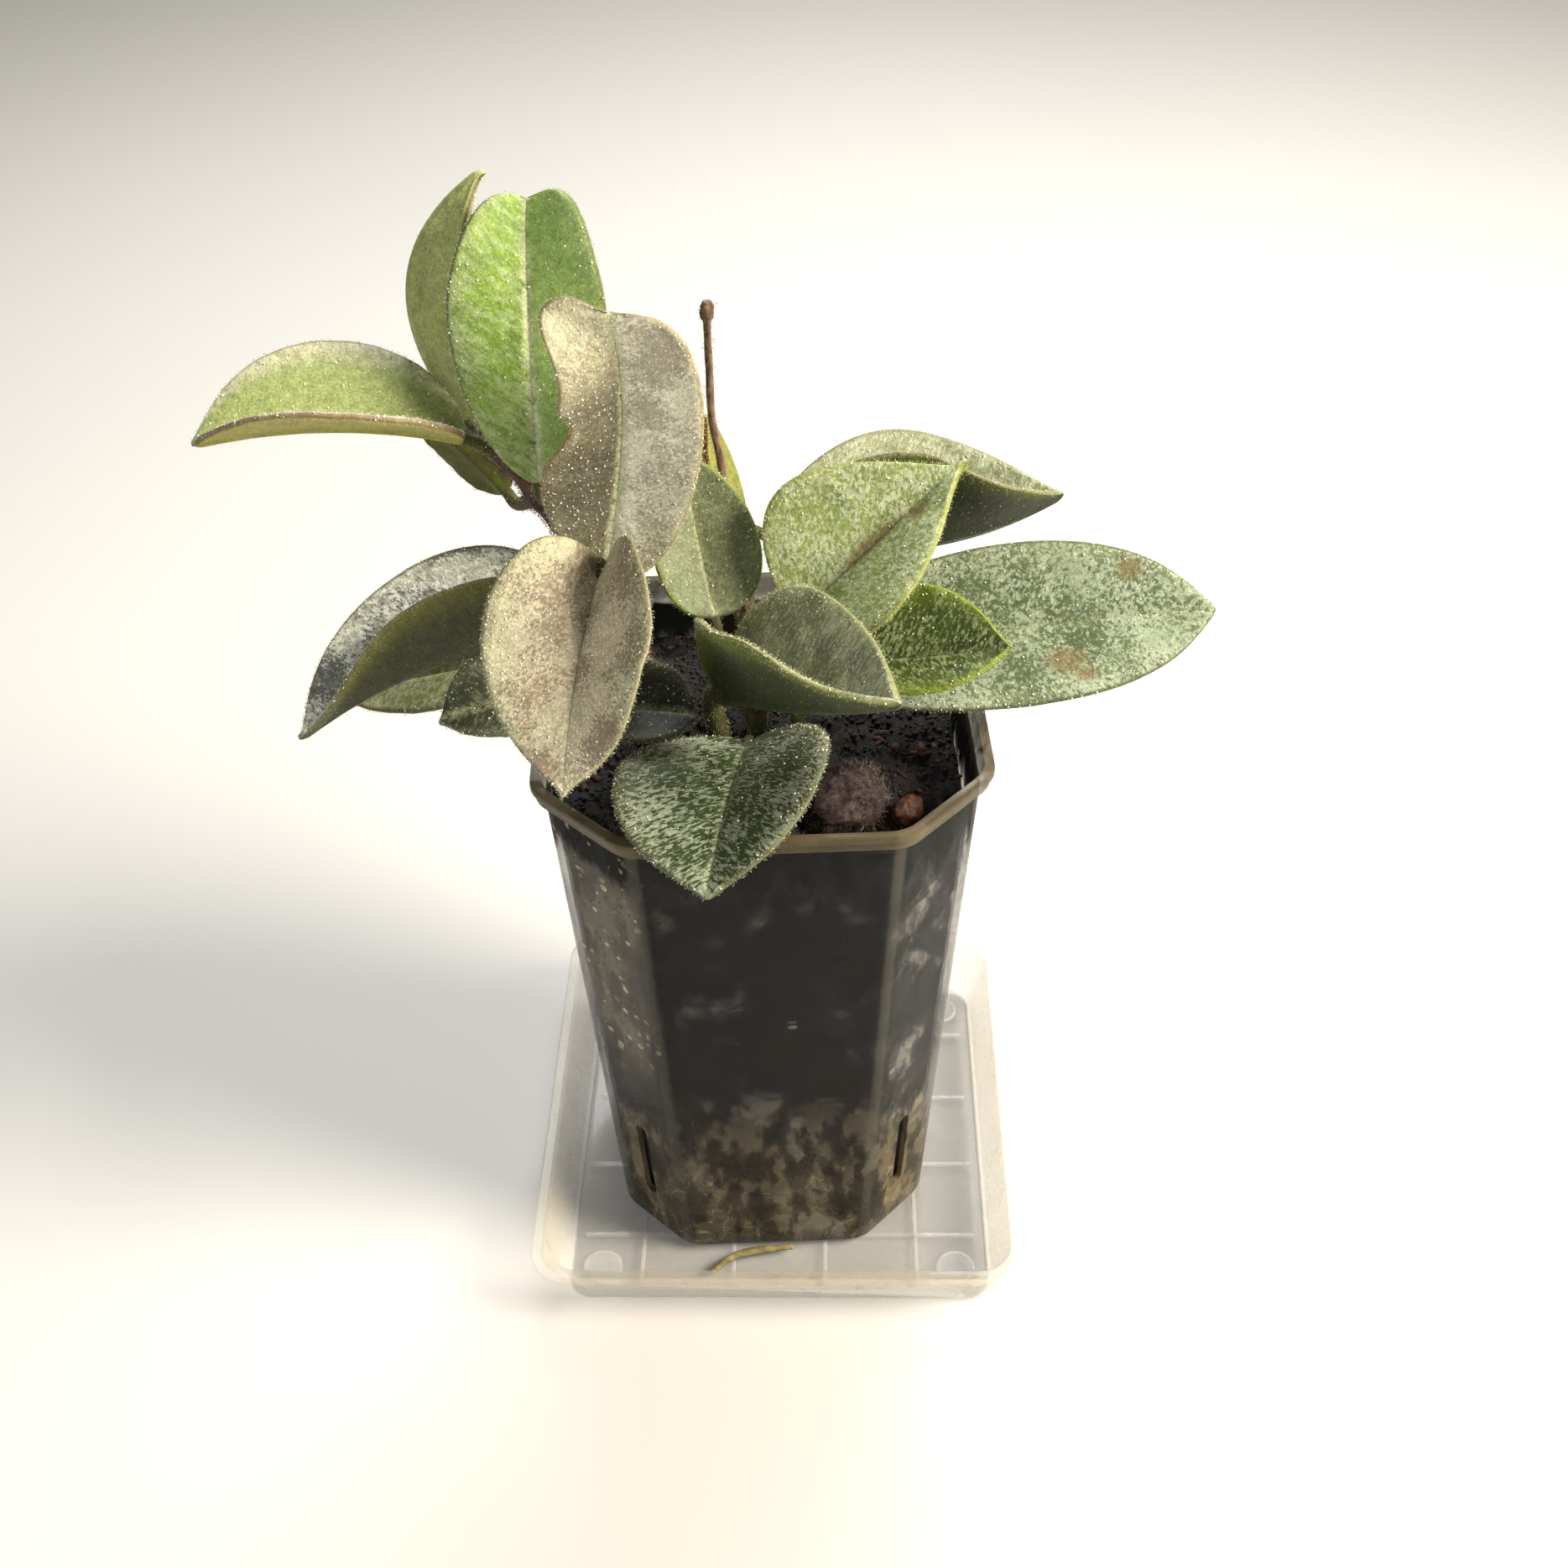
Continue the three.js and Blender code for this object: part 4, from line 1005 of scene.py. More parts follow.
def pot_material():
    """Clear plastic, hazy with mineral marks, brown with use at the foot and tan at the rim."""
    material, shading, surface = new_material(
        "clear_pot_plastic", coat_weight=0.06, coat_roughness=0.12, specular_ior_level=0.16)
    thing = shading.place()
    x, y, z = shading.split(thing)
    cloud = shading.lumps(thing, 9, detail=5.0, roughness=0.6, distortion=0.6)
    smear = shading.vector_maths("MULTIPLY", thing, (1.0, 1.0, 0.45))
    smear = shading.lumps(smear, 4, detail=4.0, roughness=0.6)
    low = shading.ramp_mm(z, *POT_USED_Z)
    rim = shading.ramp_mm(z, BAND_Z - 0.8, BAND_Z)
    corner = shading.times(shading.ramp_mm(x, *CLOUDY_CORNER), shading.ramp_mm(y, *CLOUDY_CORNER))
    corner = shading.times(shading.ramp_mm(z, *CLOUDY_Z), corner)
    distance, number = shading.cells(thing, 1 / (DROP_SIZE * MM))
    drop = shading.less(distance, shading.ramp(number, 0.2, 1.0, 0.05, 0.5))
    here = shading.times(shading.ramp(shading.lumps(thing, 5), 0.42, 0.56), corner)
    drop = shading.times(shading.ramp(drop, 0.0, -0.12), here)
    pits = shading.times(shading.grit(thing, 1.1)["Dots"], corner)
    blotch = shading.times(low, shading.ramp(cloud, 0.42, 0.56, 0.4, 1.0))
    patch = shading.times(shading.ramp(smear, 0.47, 0.56), shading.ramp_mm(z, *POT_PATCH_Z))
    tan = shading.times(shading.ramp_mm(corner_middle(shading, x, y), 9, 4), low)
    smudge = shading.times(tan, shading.ramp(smear, 0.42, 0.6))
    marks = shading.times(shading.ramp(cloud, 0.52, 0.66), shading.ramp(smear, 0.42, 0.62))
    milky = shading.times(marks, shading.ramp_mm(x, 15, 20, 0.32, 0.8))
    cloudy = shading.times(corner, shading.ramp(smear, 0.38, 0.58, 0.45, 0.9))
    root = shading.size_of(shading.less(shading.lumps(thing, 6, distortion=1.2), 0.5))
    root = shading.times(shading.ramp(root, 0.014, 0.004), low)
    root = shading.times(root, shading.ramp(smear, 0.45, 0.6))
    uneven = shading.plus(z, shading.times(shading.less(smear, 0.5), 16 * MM))
    dirt = shading.times(shading.ramp_mm(uneven, *DIRT_START_Z), shading.ramp_mm(z, *DIRT_END_Z))
    far = shading.plus(shading.times(z, EDGE_SLOPE), EDGE_FOOT * MM)
    edge = shading.maths("MAXIMUM", corner_edge(shading, x, y, far), corner_edge(shading, y, x, far))
    # Painted shade of the dents, drawn as near-black marks.
    dent = wall_marks(shading, x, y, z, WALL_DENT_SHADES)
    blob = wall_marks(shading, x, y, z, WALL_BLOBS)

    haze = shading.mix(shading.ramp(cloud, 0.4, 0.6), "1d1c1a", "191a1c")
    for code, mask, share in (
        ("463f30", blotch, 1.0), ("7a705a", patch, 0.5), ("6f6348", smudge, 1.0), ("86837a", milky, 1.0),
        ("7a725f", cloudy, 1.0), ("171412", pits, 1.0), ("94876a", root, 0.45), ("121311", dirt, 1.0),
        ("4d4a42", edge, 0.6), ("090807", dent, 1.0), ("6d675a", blob, 0.7), ("b5aa8c", drop, 1.0),
        ("5c523c", rim, 1.0),
    ):
        haze = shading.layer(haze, code, mask, share)
    cover = shading.raised(
        shading.ramp(cloud, 0.35, 0.65, 0.36, 0.5),
        (rim, 0.28), (milky, 0.4), (cloudy, 0.32), (patch, 0.15), (blotch, 0.15), (tan, 0.15),
        (dirt, 0.62), (edge, 0.15), (root, 0.5), (dent, 0.5), (blob, 0.4), (drop, 0.3))
    shading.feed(surface["Alpha"], cover)
    rough = shading.ramp(smear, 0.35, 0.65, 0.16, 0.34)
    rough = shading.raised(rough, (marks, 0.2), (dirt, 0.5), (blotch, 0.2))
    height = shading.plus(shading.times(smear, 0.4), shading.times(drop, 0.8))
    shading.dress(surface, haze, rough, height, 0.35, 0.3)
    return material


def tray_material():
    """Clear plastic with a warm cast, denser where the eye looks along the wall."""
    material, shading, surface = new_material(
        "clear_tray_plastic", coat_weight=0.3, coat_roughness=0.06, specular_ior_level=0.55)
    thing = shading.place()
    z = shading.split(thing)[2]
    cloud = shading.lumps(thing, 14, detail=4.0, roughness=0.6)
    dust = shading.grit(thing, 0.9)["Dots"]
    stains = shading.ramp(shading.lumps(thing, 5, detail=4.0), 0.62, 0.7)
    stains = shading.times(stains, shading.ramp_mm(z, 2, 4))
    tint = shading.mix(shading.ramp_mm(z, 1.5, 8), "e6e2da", "d9cfb4")
    tint = shading.layer(tint, "f2eee2", dust, 0.25)
    tint = shading.layer(tint, "8c7a52", stains, 0.6)
    facing = shading.add("ShaderNodeLayerWeight", {"Blend": 0.35}).outputs["Facing"]
    cover = shading.ramp(facing, 0.1, 0.95, 0.13, 0.56)
    cover = shading.plus(cover, shading.ramp(cloud, 0.45, 0.7, 0.0, 0.08))
    shading.feed(surface["Alpha"], shading.plus(cover, shading.times(dust, 0.12)))
    shading.dress(surface, tint, shading.ramp(cloud, 0.4, 0.7, 0.08, 0.22), cloud, 0.1, 0.4)
    return material


def soil_material():
    """Dark damp mix, browner and paler low down where it is loose, and painted shade, near black, behind
    the slots.
    """
    material, shading, surface = new_material("potting_mix")
    thing = shading.place()
    x, y, z = shading.split(thing)
    lump = shading.lumps(thing, 3.2, detail=6.0, roughness=0.7)
    tiny = shading.lumps(thing, 0.7, detail=3.0, roughness=0.7)
    body = shading.mix(shading.ramp(lump, 0.38, 0.62), "080605", "1c1510")
    body = shading.layer(body, "38271b", shading.ramp(tiny, 0.6, 0.72))
    roots = shading.vector_maths("MULTIPLY", thing, (1.0, 1.0, 2.2))
    roots = shading.ramp(shading.lumps(roots, 6, detail=4.0, roughness=0.6), 0.36, 0.6, 0.35, 1.0)
    body = shading.layer(body, "5a4a31", shading.times(shading.ramp_mm(z, 36, 12), roots))
    # Painted shade: the soil near black where it shows through the slots.
    slot = shading.ramp_mm(corner_middle(shading, x, y), 3.0, 1.8)
    for end, past in zip(SLOT_Z, (-2, 2)):
        slot = shading.times(slot, shading.ramp_mm(z, end + past, end))
    body = shading.layer(body, "050403", slot)
    rough = shading.ramp(tiny, 0.3, 0.7, 0.75, 1.0)
    shading.dress(surface, body, rough, shading.plus(lump, tiny), 0.8, 0.5)
    return material


def crumb_material(name, dark, light, size=0.8, rough=0.85):
    """Small pieces: two tones that change over the surface, rough."""
    material, shading, surface = new_material(name)
    tone = shading.lumps(shading.place(), size, detail=4.0, roughness=0.65)
    body = shading.mix(shading.ramp(tone, 0.36, 0.64), dark, light)
    shading.dress(surface, body, shading.ramp(tone, 0.3, 0.7, rough, rough - 0.15), tone, 0.5, 0.15)
    return material


def dew_glint_material():
    """Tiny beads, painted near white as glints of light."""
    material, shading, surface = new_material("dew", coat_weight=0.6, coat_roughness=0.05)
    tone = shading.lumps(shading.place(), 1.5, detail=1.0)
    body = shading.mix(tone, "f6f4ea", "e0dac2")
    shading.dress(surface, body, shading.ramp(tone, 0.3, 0.7, 0.12, 0.3))
    return material


# Scattered small things

def small_shape(nodes, shape):
    """One hair, one fibre or one round grain, of length 1."""
    if shape == "grain":
        ball = {"Radius": 0.5, "Subdivisions": 1}
        return nodes.add("GeometryNodeMeshIcoSphere", ball).outputs["Mesh"]
    if shape == "hair":
        cone, fill = {"Vertices": 3, "Side Segments": 1, "Radius Top": 0.0, "Radius Bottom": 0.11}, "NGON"
    else:
        cone = {"Vertices": 4, "Side Segments": 3, "Radius Top": 0.01, "Radius Bottom": 0.03}
        fill = "TRIANGLE_FAN"
    return nodes.add("GeometryNodeMeshCone", {**cone, "Depth": 1.0}, fill_type=fill).outputs["Mesh"]


def scatter_tree(name, shape, stretch=(1.0, 1.0, 1.0), sink=0.0):
    """Geometry nodes that set one small shape all over a mesh, denser where its growth is high."""
    tree = bpy.data.node_groups.new(name, "GeometryNodeTree")
    add_inputs(tree, [
        ("Geometry", "Geometry", None), ("Density", "Float", 100.0), ("Smallest", "Float", 0.001),
        ("Largest", "Float", 0.002), ("Tilt", "Float", 0.5), ("Seed", "Int", 1),
        ("Material", "Material", None),
    ])
    tree.interface.new_socket(name="Geometry", in_out="OUTPUT", socket_type="NodeSocketGeometry")
    nodes = Shading(tree)
    given = nodes.add("NodeGroupInput").outputs
    named = nodes.add("GeometryNodeInputNamedAttribute", {"Name": "growth"}, data_type="FLOAT")
    spread = nodes.add("GeometryNodeDistributePointsOnFaces", {
        "Mesh": given["Geometry"], "Seed": given["Seed"],
        "Density": nodes.times(given["Density"], named.outputs["Attribute"])}).outputs
    tilt = given["Tilt"]
    down = nodes.times(tilt, -1.0)
    swing = nodes.add("FunctionNodeRandomValue", {
        0: nodes.vector(down, down, -math.pi), 1: nodes.vector(tilt, tilt, math.pi),
    }, data_type="FLOAT_VECTOR").outputs[0]
    turn = nodes.add("FunctionNodeEulerToRotation", {0: swing}).outputs[0]
    rotation = nodes.add(
        "FunctionNodeRotateRotation", {0: spread["Rotation"], 1: turn}, rotation_space="LOCAL")
    size = nodes.add("FunctionNodeRandomValue", {
        2: given["Smallest"], 3: given["Largest"], "Seed": given["Seed"]}, data_type="FLOAT")
    shaped = nodes.add("GeometryNodeTransform", {
        "Geometry": small_shape(nodes, shape), "Translation": (0.0, 0.0, -sink), "Scale": stretch})
    placed = nodes.add("GeometryNodeInstanceOnPoints", {
        "Points": spread["Points"], "Instance": shaped.outputs[0], "Rotation": rotation.outputs[0],
        "Scale": size.outputs[1]})
    real = nodes.add("GeometryNodeRealizeInstances", {"Geometry": placed.outputs[0]})
    smooth = nodes.add("GeometryNodeSetShadeSmooth", {"Geometry": real.outputs[0]})
    dressed = nodes.add("GeometryNodeSetMaterial", {
        "Geometry": smooth.outputs[0], "Material": given["Material"]})
    nodes.add("NodeGroupOutput", {"Geometry": dressed.outputs[0]})
    return tree


def scatter(name, mesh, tree, material, slot, density, sizes, tilt, seed):
    """Things grown on a mesh whose growth values say where. Density is per square mm, sizes in mm."""
    source = new_object(name + "_source", mesh)
    modifier = source.modifiers.new("scatter", "NODES")
    modifier.node_group = tree
    values = {
        "Material": material, "Density": density / (MM * MM), "Smallest": sizes[0] * MM,
        "Largest": sizes[1] * MM, "Tilt": tilt, "Seed": seed,
    }
    for item in tree.interface.items_tree:
        if item.item_type == "SOCKET" and item.in_out == "INPUT" and item.name in values:
            modifier[item.identifier] = values[item.name]
    finished(evaluated(source, name), slot)


# Pieces

def make_leaves():
    """Every leaf, and the meshes that its down and its dew grow on."""
    slots = {part["node"]: part["material_slot"] for part in frame["record"]["subparts"]}
    sources = []
    for seed, (name, leaf) in enumerate(LEAVES.items()):
        node = "leaf_" + name
        look = {**USUAL_LOOK, **LOOKS[name]}
        mesh = leaf_mesh(node, leaf, look["dew"], seed)
        finished(new_object("blade_" + name, mesh, leaf_material(node, look)), slots[node], node)
        sources.append(mesh)
    return sources


def stem_swell(feet, seed):
    """Swollen rings where leaves join, and lengthwise ridges."""
    def swell(share, angles, place):
        near = min([math.dist(place, foot) for foot in feet], default=99)
        joint = 0.28 * math.exp(-((near / 2.0) ** 2))
        ridges = 0.05 * np.sin(5 * angles + 9 * share + seed) + 0.03 * np.sin(11 * angles - 30 * share)
        return joint + ridges + 0.04 * math.sin(70 * share + seed)
    return swell


def make_stems():
    """The stems, the bare shoot and the loose root, and the meshes that the stems' down grows on."""
    feet = {"main": [], "side": []}
    for leaf in LEAVES.values():
        foot = leaf["foot"]
        if foot[2] > STEM_LEAVES_Z:
            feet["main" if foot[0] < STEMS_PART_X else "side"].append(foot)
    brown = bark_material("downy_brown_stem", "2e1710", "6b4630")
    green = bark_material("downy_green_stem", "4c5526", "7b7a45")
    red = bark_material("thin_brown_shoot", "4a3020", "85694a")
    root = crumb_material("dry_root", "645c34", "8c8153", 1.2, 0.8)
    rows = (
        ("stem_main", "main_stem", MAIN_STEM, 26, 16, feet["main"], 1, brown, "brown_stem", 0.8),
        ("stem_side", "side_stem", SIDE_STEM, 26, 14, feet["side"], 4, green, "green_stem", 0.8),
        ("shoot_bare", "bare_shoot", BARE_SHOOT, 14, 8, [], 2, red, "brown_stem", 0.1),
        ("root_loose", "loose_root", LOOSE_ROOT, 12, 10, [], 6, root, "root", None),
    )
    sources = []
    for name, node, stations, sides, steps, joints, seed, material, slot, down in rows:
        points, faces = tube(stations, sides, steps, stem_swell(joints, seed))
        mesh = add_piece(name, points, faces, material, slot, node)
        if down:
            set_point_values(mesh, "down", np.where(points[:, 2] > STEM_DOWN_Z, down, 0.0))
            sources.append(mesh)
    return sources


def pot_size(z):
    """Half width and corner cut of the pot's wall at a height."""
    share = (z - POT_BASE_Z) / WALL_HEIGHT
    half = POT_BASE_HALF + (POT_TOP_HALF - POT_BASE_HALF) * share
    return half, POT_BASE_CUT + (POT_TOP_CUT - POT_BASE_CUT) * share


def inset_ring(half, cut, inset, z):
    return cut_square(half - inset, cut - inset * (2 - math.sqrt(2)), POT_CORNER, z)


def pot_ring(z, inset):
    return inset_ring(*pot_size(z), inset, z)


def slot_cutter():
    """Four upright slots with round ends, one for each cut corner."""
    half, cut = pot_size(sum(SLOT_Z) / 2)
    reach = (half - cut / 2) * math.sqrt(2)
    radius = SLOT_WIDTH / 2
    outline = []
    for centre_z, start in ((SLOT_Z[1] - radius, 0), (SLOT_Z[0] + radius, math.pi)):
        for angle in np.linspace(start, start + math.pi, 9):
            outline.append((radius * math.cos(angle), centre_z + radius * math.sin(angle)))
    parts = []
    for corner in range(4):
        turn = math.pi / 4 + corner * math.pi / 2
        out = np.array((math.cos(turn), math.sin(turn), 0))
        over = np.array((-math.sin(turn), math.cos(turn), 0))
        rings = [[out * (reach + d) + over * a + (0, 0, z) for a, z in outline] for d in (-3, 3)]
        parts.append(loft(rings))
    return new_object("slot_cutter", new_mesh("slot_cutter", *joined(parts)))


def make_pot():
    """Pot with a two-step rim band and a slot in each cut corner."""
    bead = POT_TOP_Z - RIM_BEAD
    wall_heights = np.linspace(POT_BASE_Z + FOOT_RISE, BAND_Z - RIM_STEP, 24)
    inner_heights = np.linspace(BAND_Z - RIM_BEAD, POT_BASE_Z + POT_FLOOR + 0.6, 12)
    foot = (
        (POT_BASE_Z, 4.0), (POT_BASE_Z, FOOT_BEVEL), (POT_BASE_Z + 0.25, FOOT_BEVEL * 0.35),
    )
    rim = (
        (BAND_Z, 2 * RIM_STEP), (BAND_Z + 0.25, RIM_STEP + 0.1), (bead - 2 * EDGE, RIM_STEP),
        (bead - 0.1, 0.12), (bead + 0.1, 0), (POT_TOP_Z - 0.3, 0), (POT_TOP_Z - 0.1, 0.08),
        (POT_TOP_Z, 0.25), (POT_TOP_Z, RIM_WIDTH - 0.2), (POT_TOP_Z - 0.12, RIM_WIDTH - 0.05),
        (bead - EDGE, RIM_WIDTH + EDGE),
    )
    points, faces = loft([
        *[pot_ring(z, inset) for z, inset in foot],
        *[pot_ring(z, 0) for z in wall_heights],
        *[inset_ring(RIM_HALF, RIM_CUT, inset, z) for z, inset in rim],
        *[pot_ring(z, POT_WALL) for z in inner_heights],
        pot_ring(POT_BASE_Z + POT_FLOOR, POT_WALL + 0.5),
    ])
    body = new_object("pot_source", new_mesh("pot_source", points, faces))
    cutter = slot_cutter()
    cut = body.modifiers.new("slots", "BOOLEAN")
    cut.object = cutter
    cut.operation = "DIFFERENCE"
    cut.solver = "EXACT"
    made = evaluated(body, "pot_clear")
    bpy.data.objects.remove(cutter)
    made.data.shade_smooth()
    made.data.set_sharp_from_angle(angle=math.radians(32))
    made.data.materials.clear()
    made.data.materials.append(pot_material())
    finished(made, "pot_plastic", "pot")


def tray_ribs(length):
    """Floor grid of low ribs, the crossing ones a little lower."""
    parts = []
    half = RIB_WIDTH / 2
    for offset in RIB_OFFSETS:
        for turned in (False, True):
            height = RIB_HEIGHT - (0.05 if turned else 0)
            section = [(-half, -0.2), (half, -0.2), (half * 0.6, height), (-half * 0.6, height)]
            ends = []
            for end in (-length, length):
                ring = [(end, offset + a, TRAY_FLOOR + b) for a, b in section]
                ends.append([(-y, x, z) for x, y, z in ring] if turned else ring)
            parts.append(loft(ends))
    return parts


def tray_dimples():
    """Round raised ring in each corner of the tray's floor."""
    profile = ((1.0, -0.1), (1.0, 0.12), (0.93, 0.2), (0.84, 0.2), (0.78, 0.1), (0.78, -0.1))
    angles = np.linspace(0, 2 * math.pi, 33)[:-1]
    parts = []
    for x in (-DIMPLE_PLACE, DIMPLE_PLACE):
        for y in (-DIMPLE_PLACE, DIMPLE_PLACE):
            rings = []
            for share, height in profile:
                radius = DIMPLE_RADIUS * share
                z = TRAY_FLOOR + height
                rings.append([(x + radius * math.cos(a), y + radius * math.sin(a), z) for a in angles])
            parts.append(loft(rings))
    return parts


def make_tray():
    """Square dish with a narrow lip, a floor grid of low ribs and a round dimple in each corner."""
    lip_under = TRAY_HEIGHT - TRAY_LIP_THICK
    wall_top = TRAY_LIP_HALF - TRAY_LIP_WIDTH
    inner = TRAY_BASE_HALF - TRAY_WALL
    profile = (
        (TRAY_BASE_HALF - 3, 0), (TRAY_BASE_HALF - FOOT_BEVEL, 0), (TRAY_BASE_HALF - 0.2, 0.3),
        (TRAY_BASE_HALF, FOOT_RISE), (wall_top, lip_under), (TRAY_LIP_HALF - 0.1, lip_under + 0.05),
        (TRAY_LIP_HALF, lip_under + EDGE), (TRAY_LIP_HALF, TRAY_HEIGHT - EDGE),
        (TRAY_LIP_HALF - 0.06, TRAY_HEIGHT - 0.06), (TRAY_LIP_HALF - EDGE, TRAY_HEIGHT),
        (wall_top - TRAY_WALL + EDGE, TRAY_HEIGHT), (wall_top - TRAY_WALL, TRAY_HEIGHT - EDGE),
        (inner, TRAY_FLOOR + FOOT_RISE), (inner - 0.25, TRAY_FLOOR + 0.25),
        (inner - FOOT_RISE, TRAY_FLOOR),
    )
    rings = [round_square(half, TRAY_CORNER - (TRAY_LIP_HALF - half) * 0.5, z) for half, z in profile]
    points, faces = joined([loft(rings), *tray_ribs(inner - RIB_END), *tray_dimples()])
    turn = np.array(Matrix.Rotation(TRAY_TURN, 3, "Z"))
    points = points @ turn.T + (*TRAY_CENTRE, 0)
    add_piece("tray_clear", points, faces, tray_material(), "tray_plastic", "drip_tray", sharp=35)


def unevenness(x, y):
    return (0.5 * np.sin(0.31 * x + 1.2) * np.cos(0.27 * y - 0.4)
            + 0.3 * np.sin(0.63 * x - 0.9 * y + 0.5) + 0.25 * np.cos(0.83 * x + 0.55 * y + 2.1))


def evenly(ring, count):
    """Ring of count points at even distances along a closed ring."""
    closed = np.vstack([ring, ring[:1]])
    steps = np.concatenate([[0], np.cumsum(np.linalg.norm(np.diff(closed, axis=0), axis=1))])
    places = np.linspace(0, steps[-1], count + 1)[:-1]
    return np.stack([np.interp(places, steps, closed[:, k]) for k in range(3)], -1)


def roughened(point, size, amount):
    return amount * noise.fractal(Vector(point) / size, 0.9, 2.2, 3)


def make_soil():
    """Soil with a crumbled top, lumps against the clear wall, and grains, bark and fibres on it."""
    inset = POT_WALL + GAP
    base = POT_BASE_Z + POT_FLOOR + GAP
    heights = np.linspace(base, SOIL_TOP_Z - 1.2, 46)
    sides = [evenly(pot_ring(z, inset), SOIL_POINTS) for z in heights]
    for ring in sides:
        for k, point in enumerate(ring):
            inward = abs(roughened(point, 2.2, 0.55))
            ring[k, :2] *= 1 - inward / np.linalg.norm(point[:2])
    tops = []
    for share in np.concatenate([[0.985], np.linspace(0.95, 0.03, 40)]):
        ring = evenly(pot_ring(SOIL_TOP_Z, inset), SOIL_POINTS) * (share, share, 1)
        ring[:, 2] += SOIL_BUMP * unevenness(ring[:, 0], ring[:, 1])
        ring[:, 2] -= SOIL_DIP * smoothstep(share, 0.86, 0.98)
        ring[:, 2] += [roughened(p, 2.6, 0.75) for p in ring]
        tops.append(ring)
    add_piece("soil_body", *loft(sides + tops), soil_material(), "soil", "soil")

    points, faces = np.vstack(tops), loft_faces(len(tops), SOIL_POINTS, closed_ends=False)
    x, y = points[:, 0], points[:, 1]
    everywhere = smoothstep(np.hypot(x, y), 1, 3)
    right_wall = smoothstep(x, 14, 24) + 0.15
    grain = scatter_tree("grains", "grain", (1.0, 0.8, 0.6))
    chip = scatter_tree("bark chips", "grain", (1.5, 0.75, 0.35))
    fibre = scatter_tree("fibres", "fibre", sink=0.35)
    dark = crumb_material("dark_grains", "080605", "241a13")
    red = crumb_material("red_bark", "2c170e", "58301d")
    peat = crumb_material("peat_fibres", "2a1e15", "5a4733")
    rows = (
        ("soil_grains", everywhere, grain, dark, 0.75, (0.45, 1.3), 1.5, 3),
        ("soil_bark", right_wall, chip, red, 0.12, (0.9, 2.2), 0.9, 5),
        ("soil_fibres", everywhere, fibre, peat, 0.2, (1.6, 4.2), 1.4, 8),
    )
    for name, growth, tree, material, density, sizes, tilt, seed in rows:
        mesh = grown_mesh(name, points, faces, growth)
        scatter(name, mesh, tree, material, "soil", density, sizes, tilt, seed)


def lump(shape, rough_size, rough_height, count):
    """Closed lump with shallow dents and a rough skin: a ball of rings stretched to three radii."""
    angles = np.linspace(0, 2 * math.pi, 2 * count + 1)[:-1]
    rings = []
    for polar in np.linspace(0.03, math.pi - 0.03, count):
        x, y = np.sin(polar) * np.cos(angles), np.sin(polar) * np.sin(angles)
        rings.append(np.stack([x, y, np.full_like(angles, -np.cos(polar))], -1))
    points, faces = loft(rings)
    points = unit(points)
    x, y, z = points.T
    seed = shape["seed"]
    swell = np.sin(3.1 * x + seed) * np.cos(2.7 * y - seed) + 0.5 * np.sin(5.3 * z + 4.1 * x + seed)
    points = points * np.array(shape["radii"]) * (1 + shape["dent"] * swell)[:, None]
    rough = np.array([roughened(p, rough_size, rough_height) for p in points])
    points = points + unit(points) * rough[:, None]
    turn = np.array(Matrix.Rotation(shape["turn"], 3, "Z"))
    return points @ turn.T + shape["centre"], faces


def make_clump_and_pebble():
    points, faces = lump(CLUMP, 1.5, 0.45, 48)
    core = crumb_material("clump_fibre_mat", "1b0f0d", "3c2824", 1.0)
    add_piece("clump_core", points, faces, core, "fibre", "fibre_clump")
    fibre = scatter_tree("clump down", "fibre", sink=-0.3)
    pale_side = smoothstep(points[:, 0], 10.5, 14.5)
    rows = (
        ("clump_down_dark", np.ones(len(points)), "1d100e", "3a2622", 7.0, (0.4, 1.1), 11),
        ("clump_down_pale", pale_side, "62564c", "968879", 5.0, (0.5, 1.3), 12),
    )
    for name, growth, dark, light, density, sizes, seed in rows:
        mesh = grown_mesh(name, points, faces, growth)
        scatter(name, mesh, fibre, crumb_material(name, dark, light), "fibre", density, sizes, 1.1, seed)
    stone = crumb_material("red_stone", "2b130b", "5d3319", 0.9, 0.75)
    add_piece("pebble_red", *lump(PEBBLE, 0.9, 0.24, 36), stone, "stone", "pebble")


def growth_mesh(name, meshes, value_name):
    """One mesh of several, with one of their values as growth."""
    parts, growth = [], []
    for mesh in meshes:
        points = np.zeros(len(mesh.vertices) * 3)
        mesh.vertices.foreach_get("co", points)
        parts.append((points.reshape(-1, 3) / MM, [tuple(p.vertices) for p in mesh.polygons]))
        values = np.zeros(len(mesh.vertices), np.float32)
        mesh.attributes[value_name].data.foreach_get("value", values)
        growth.append(values)
    return grown_mesh(name, *joined(parts), np.concatenate(growth))


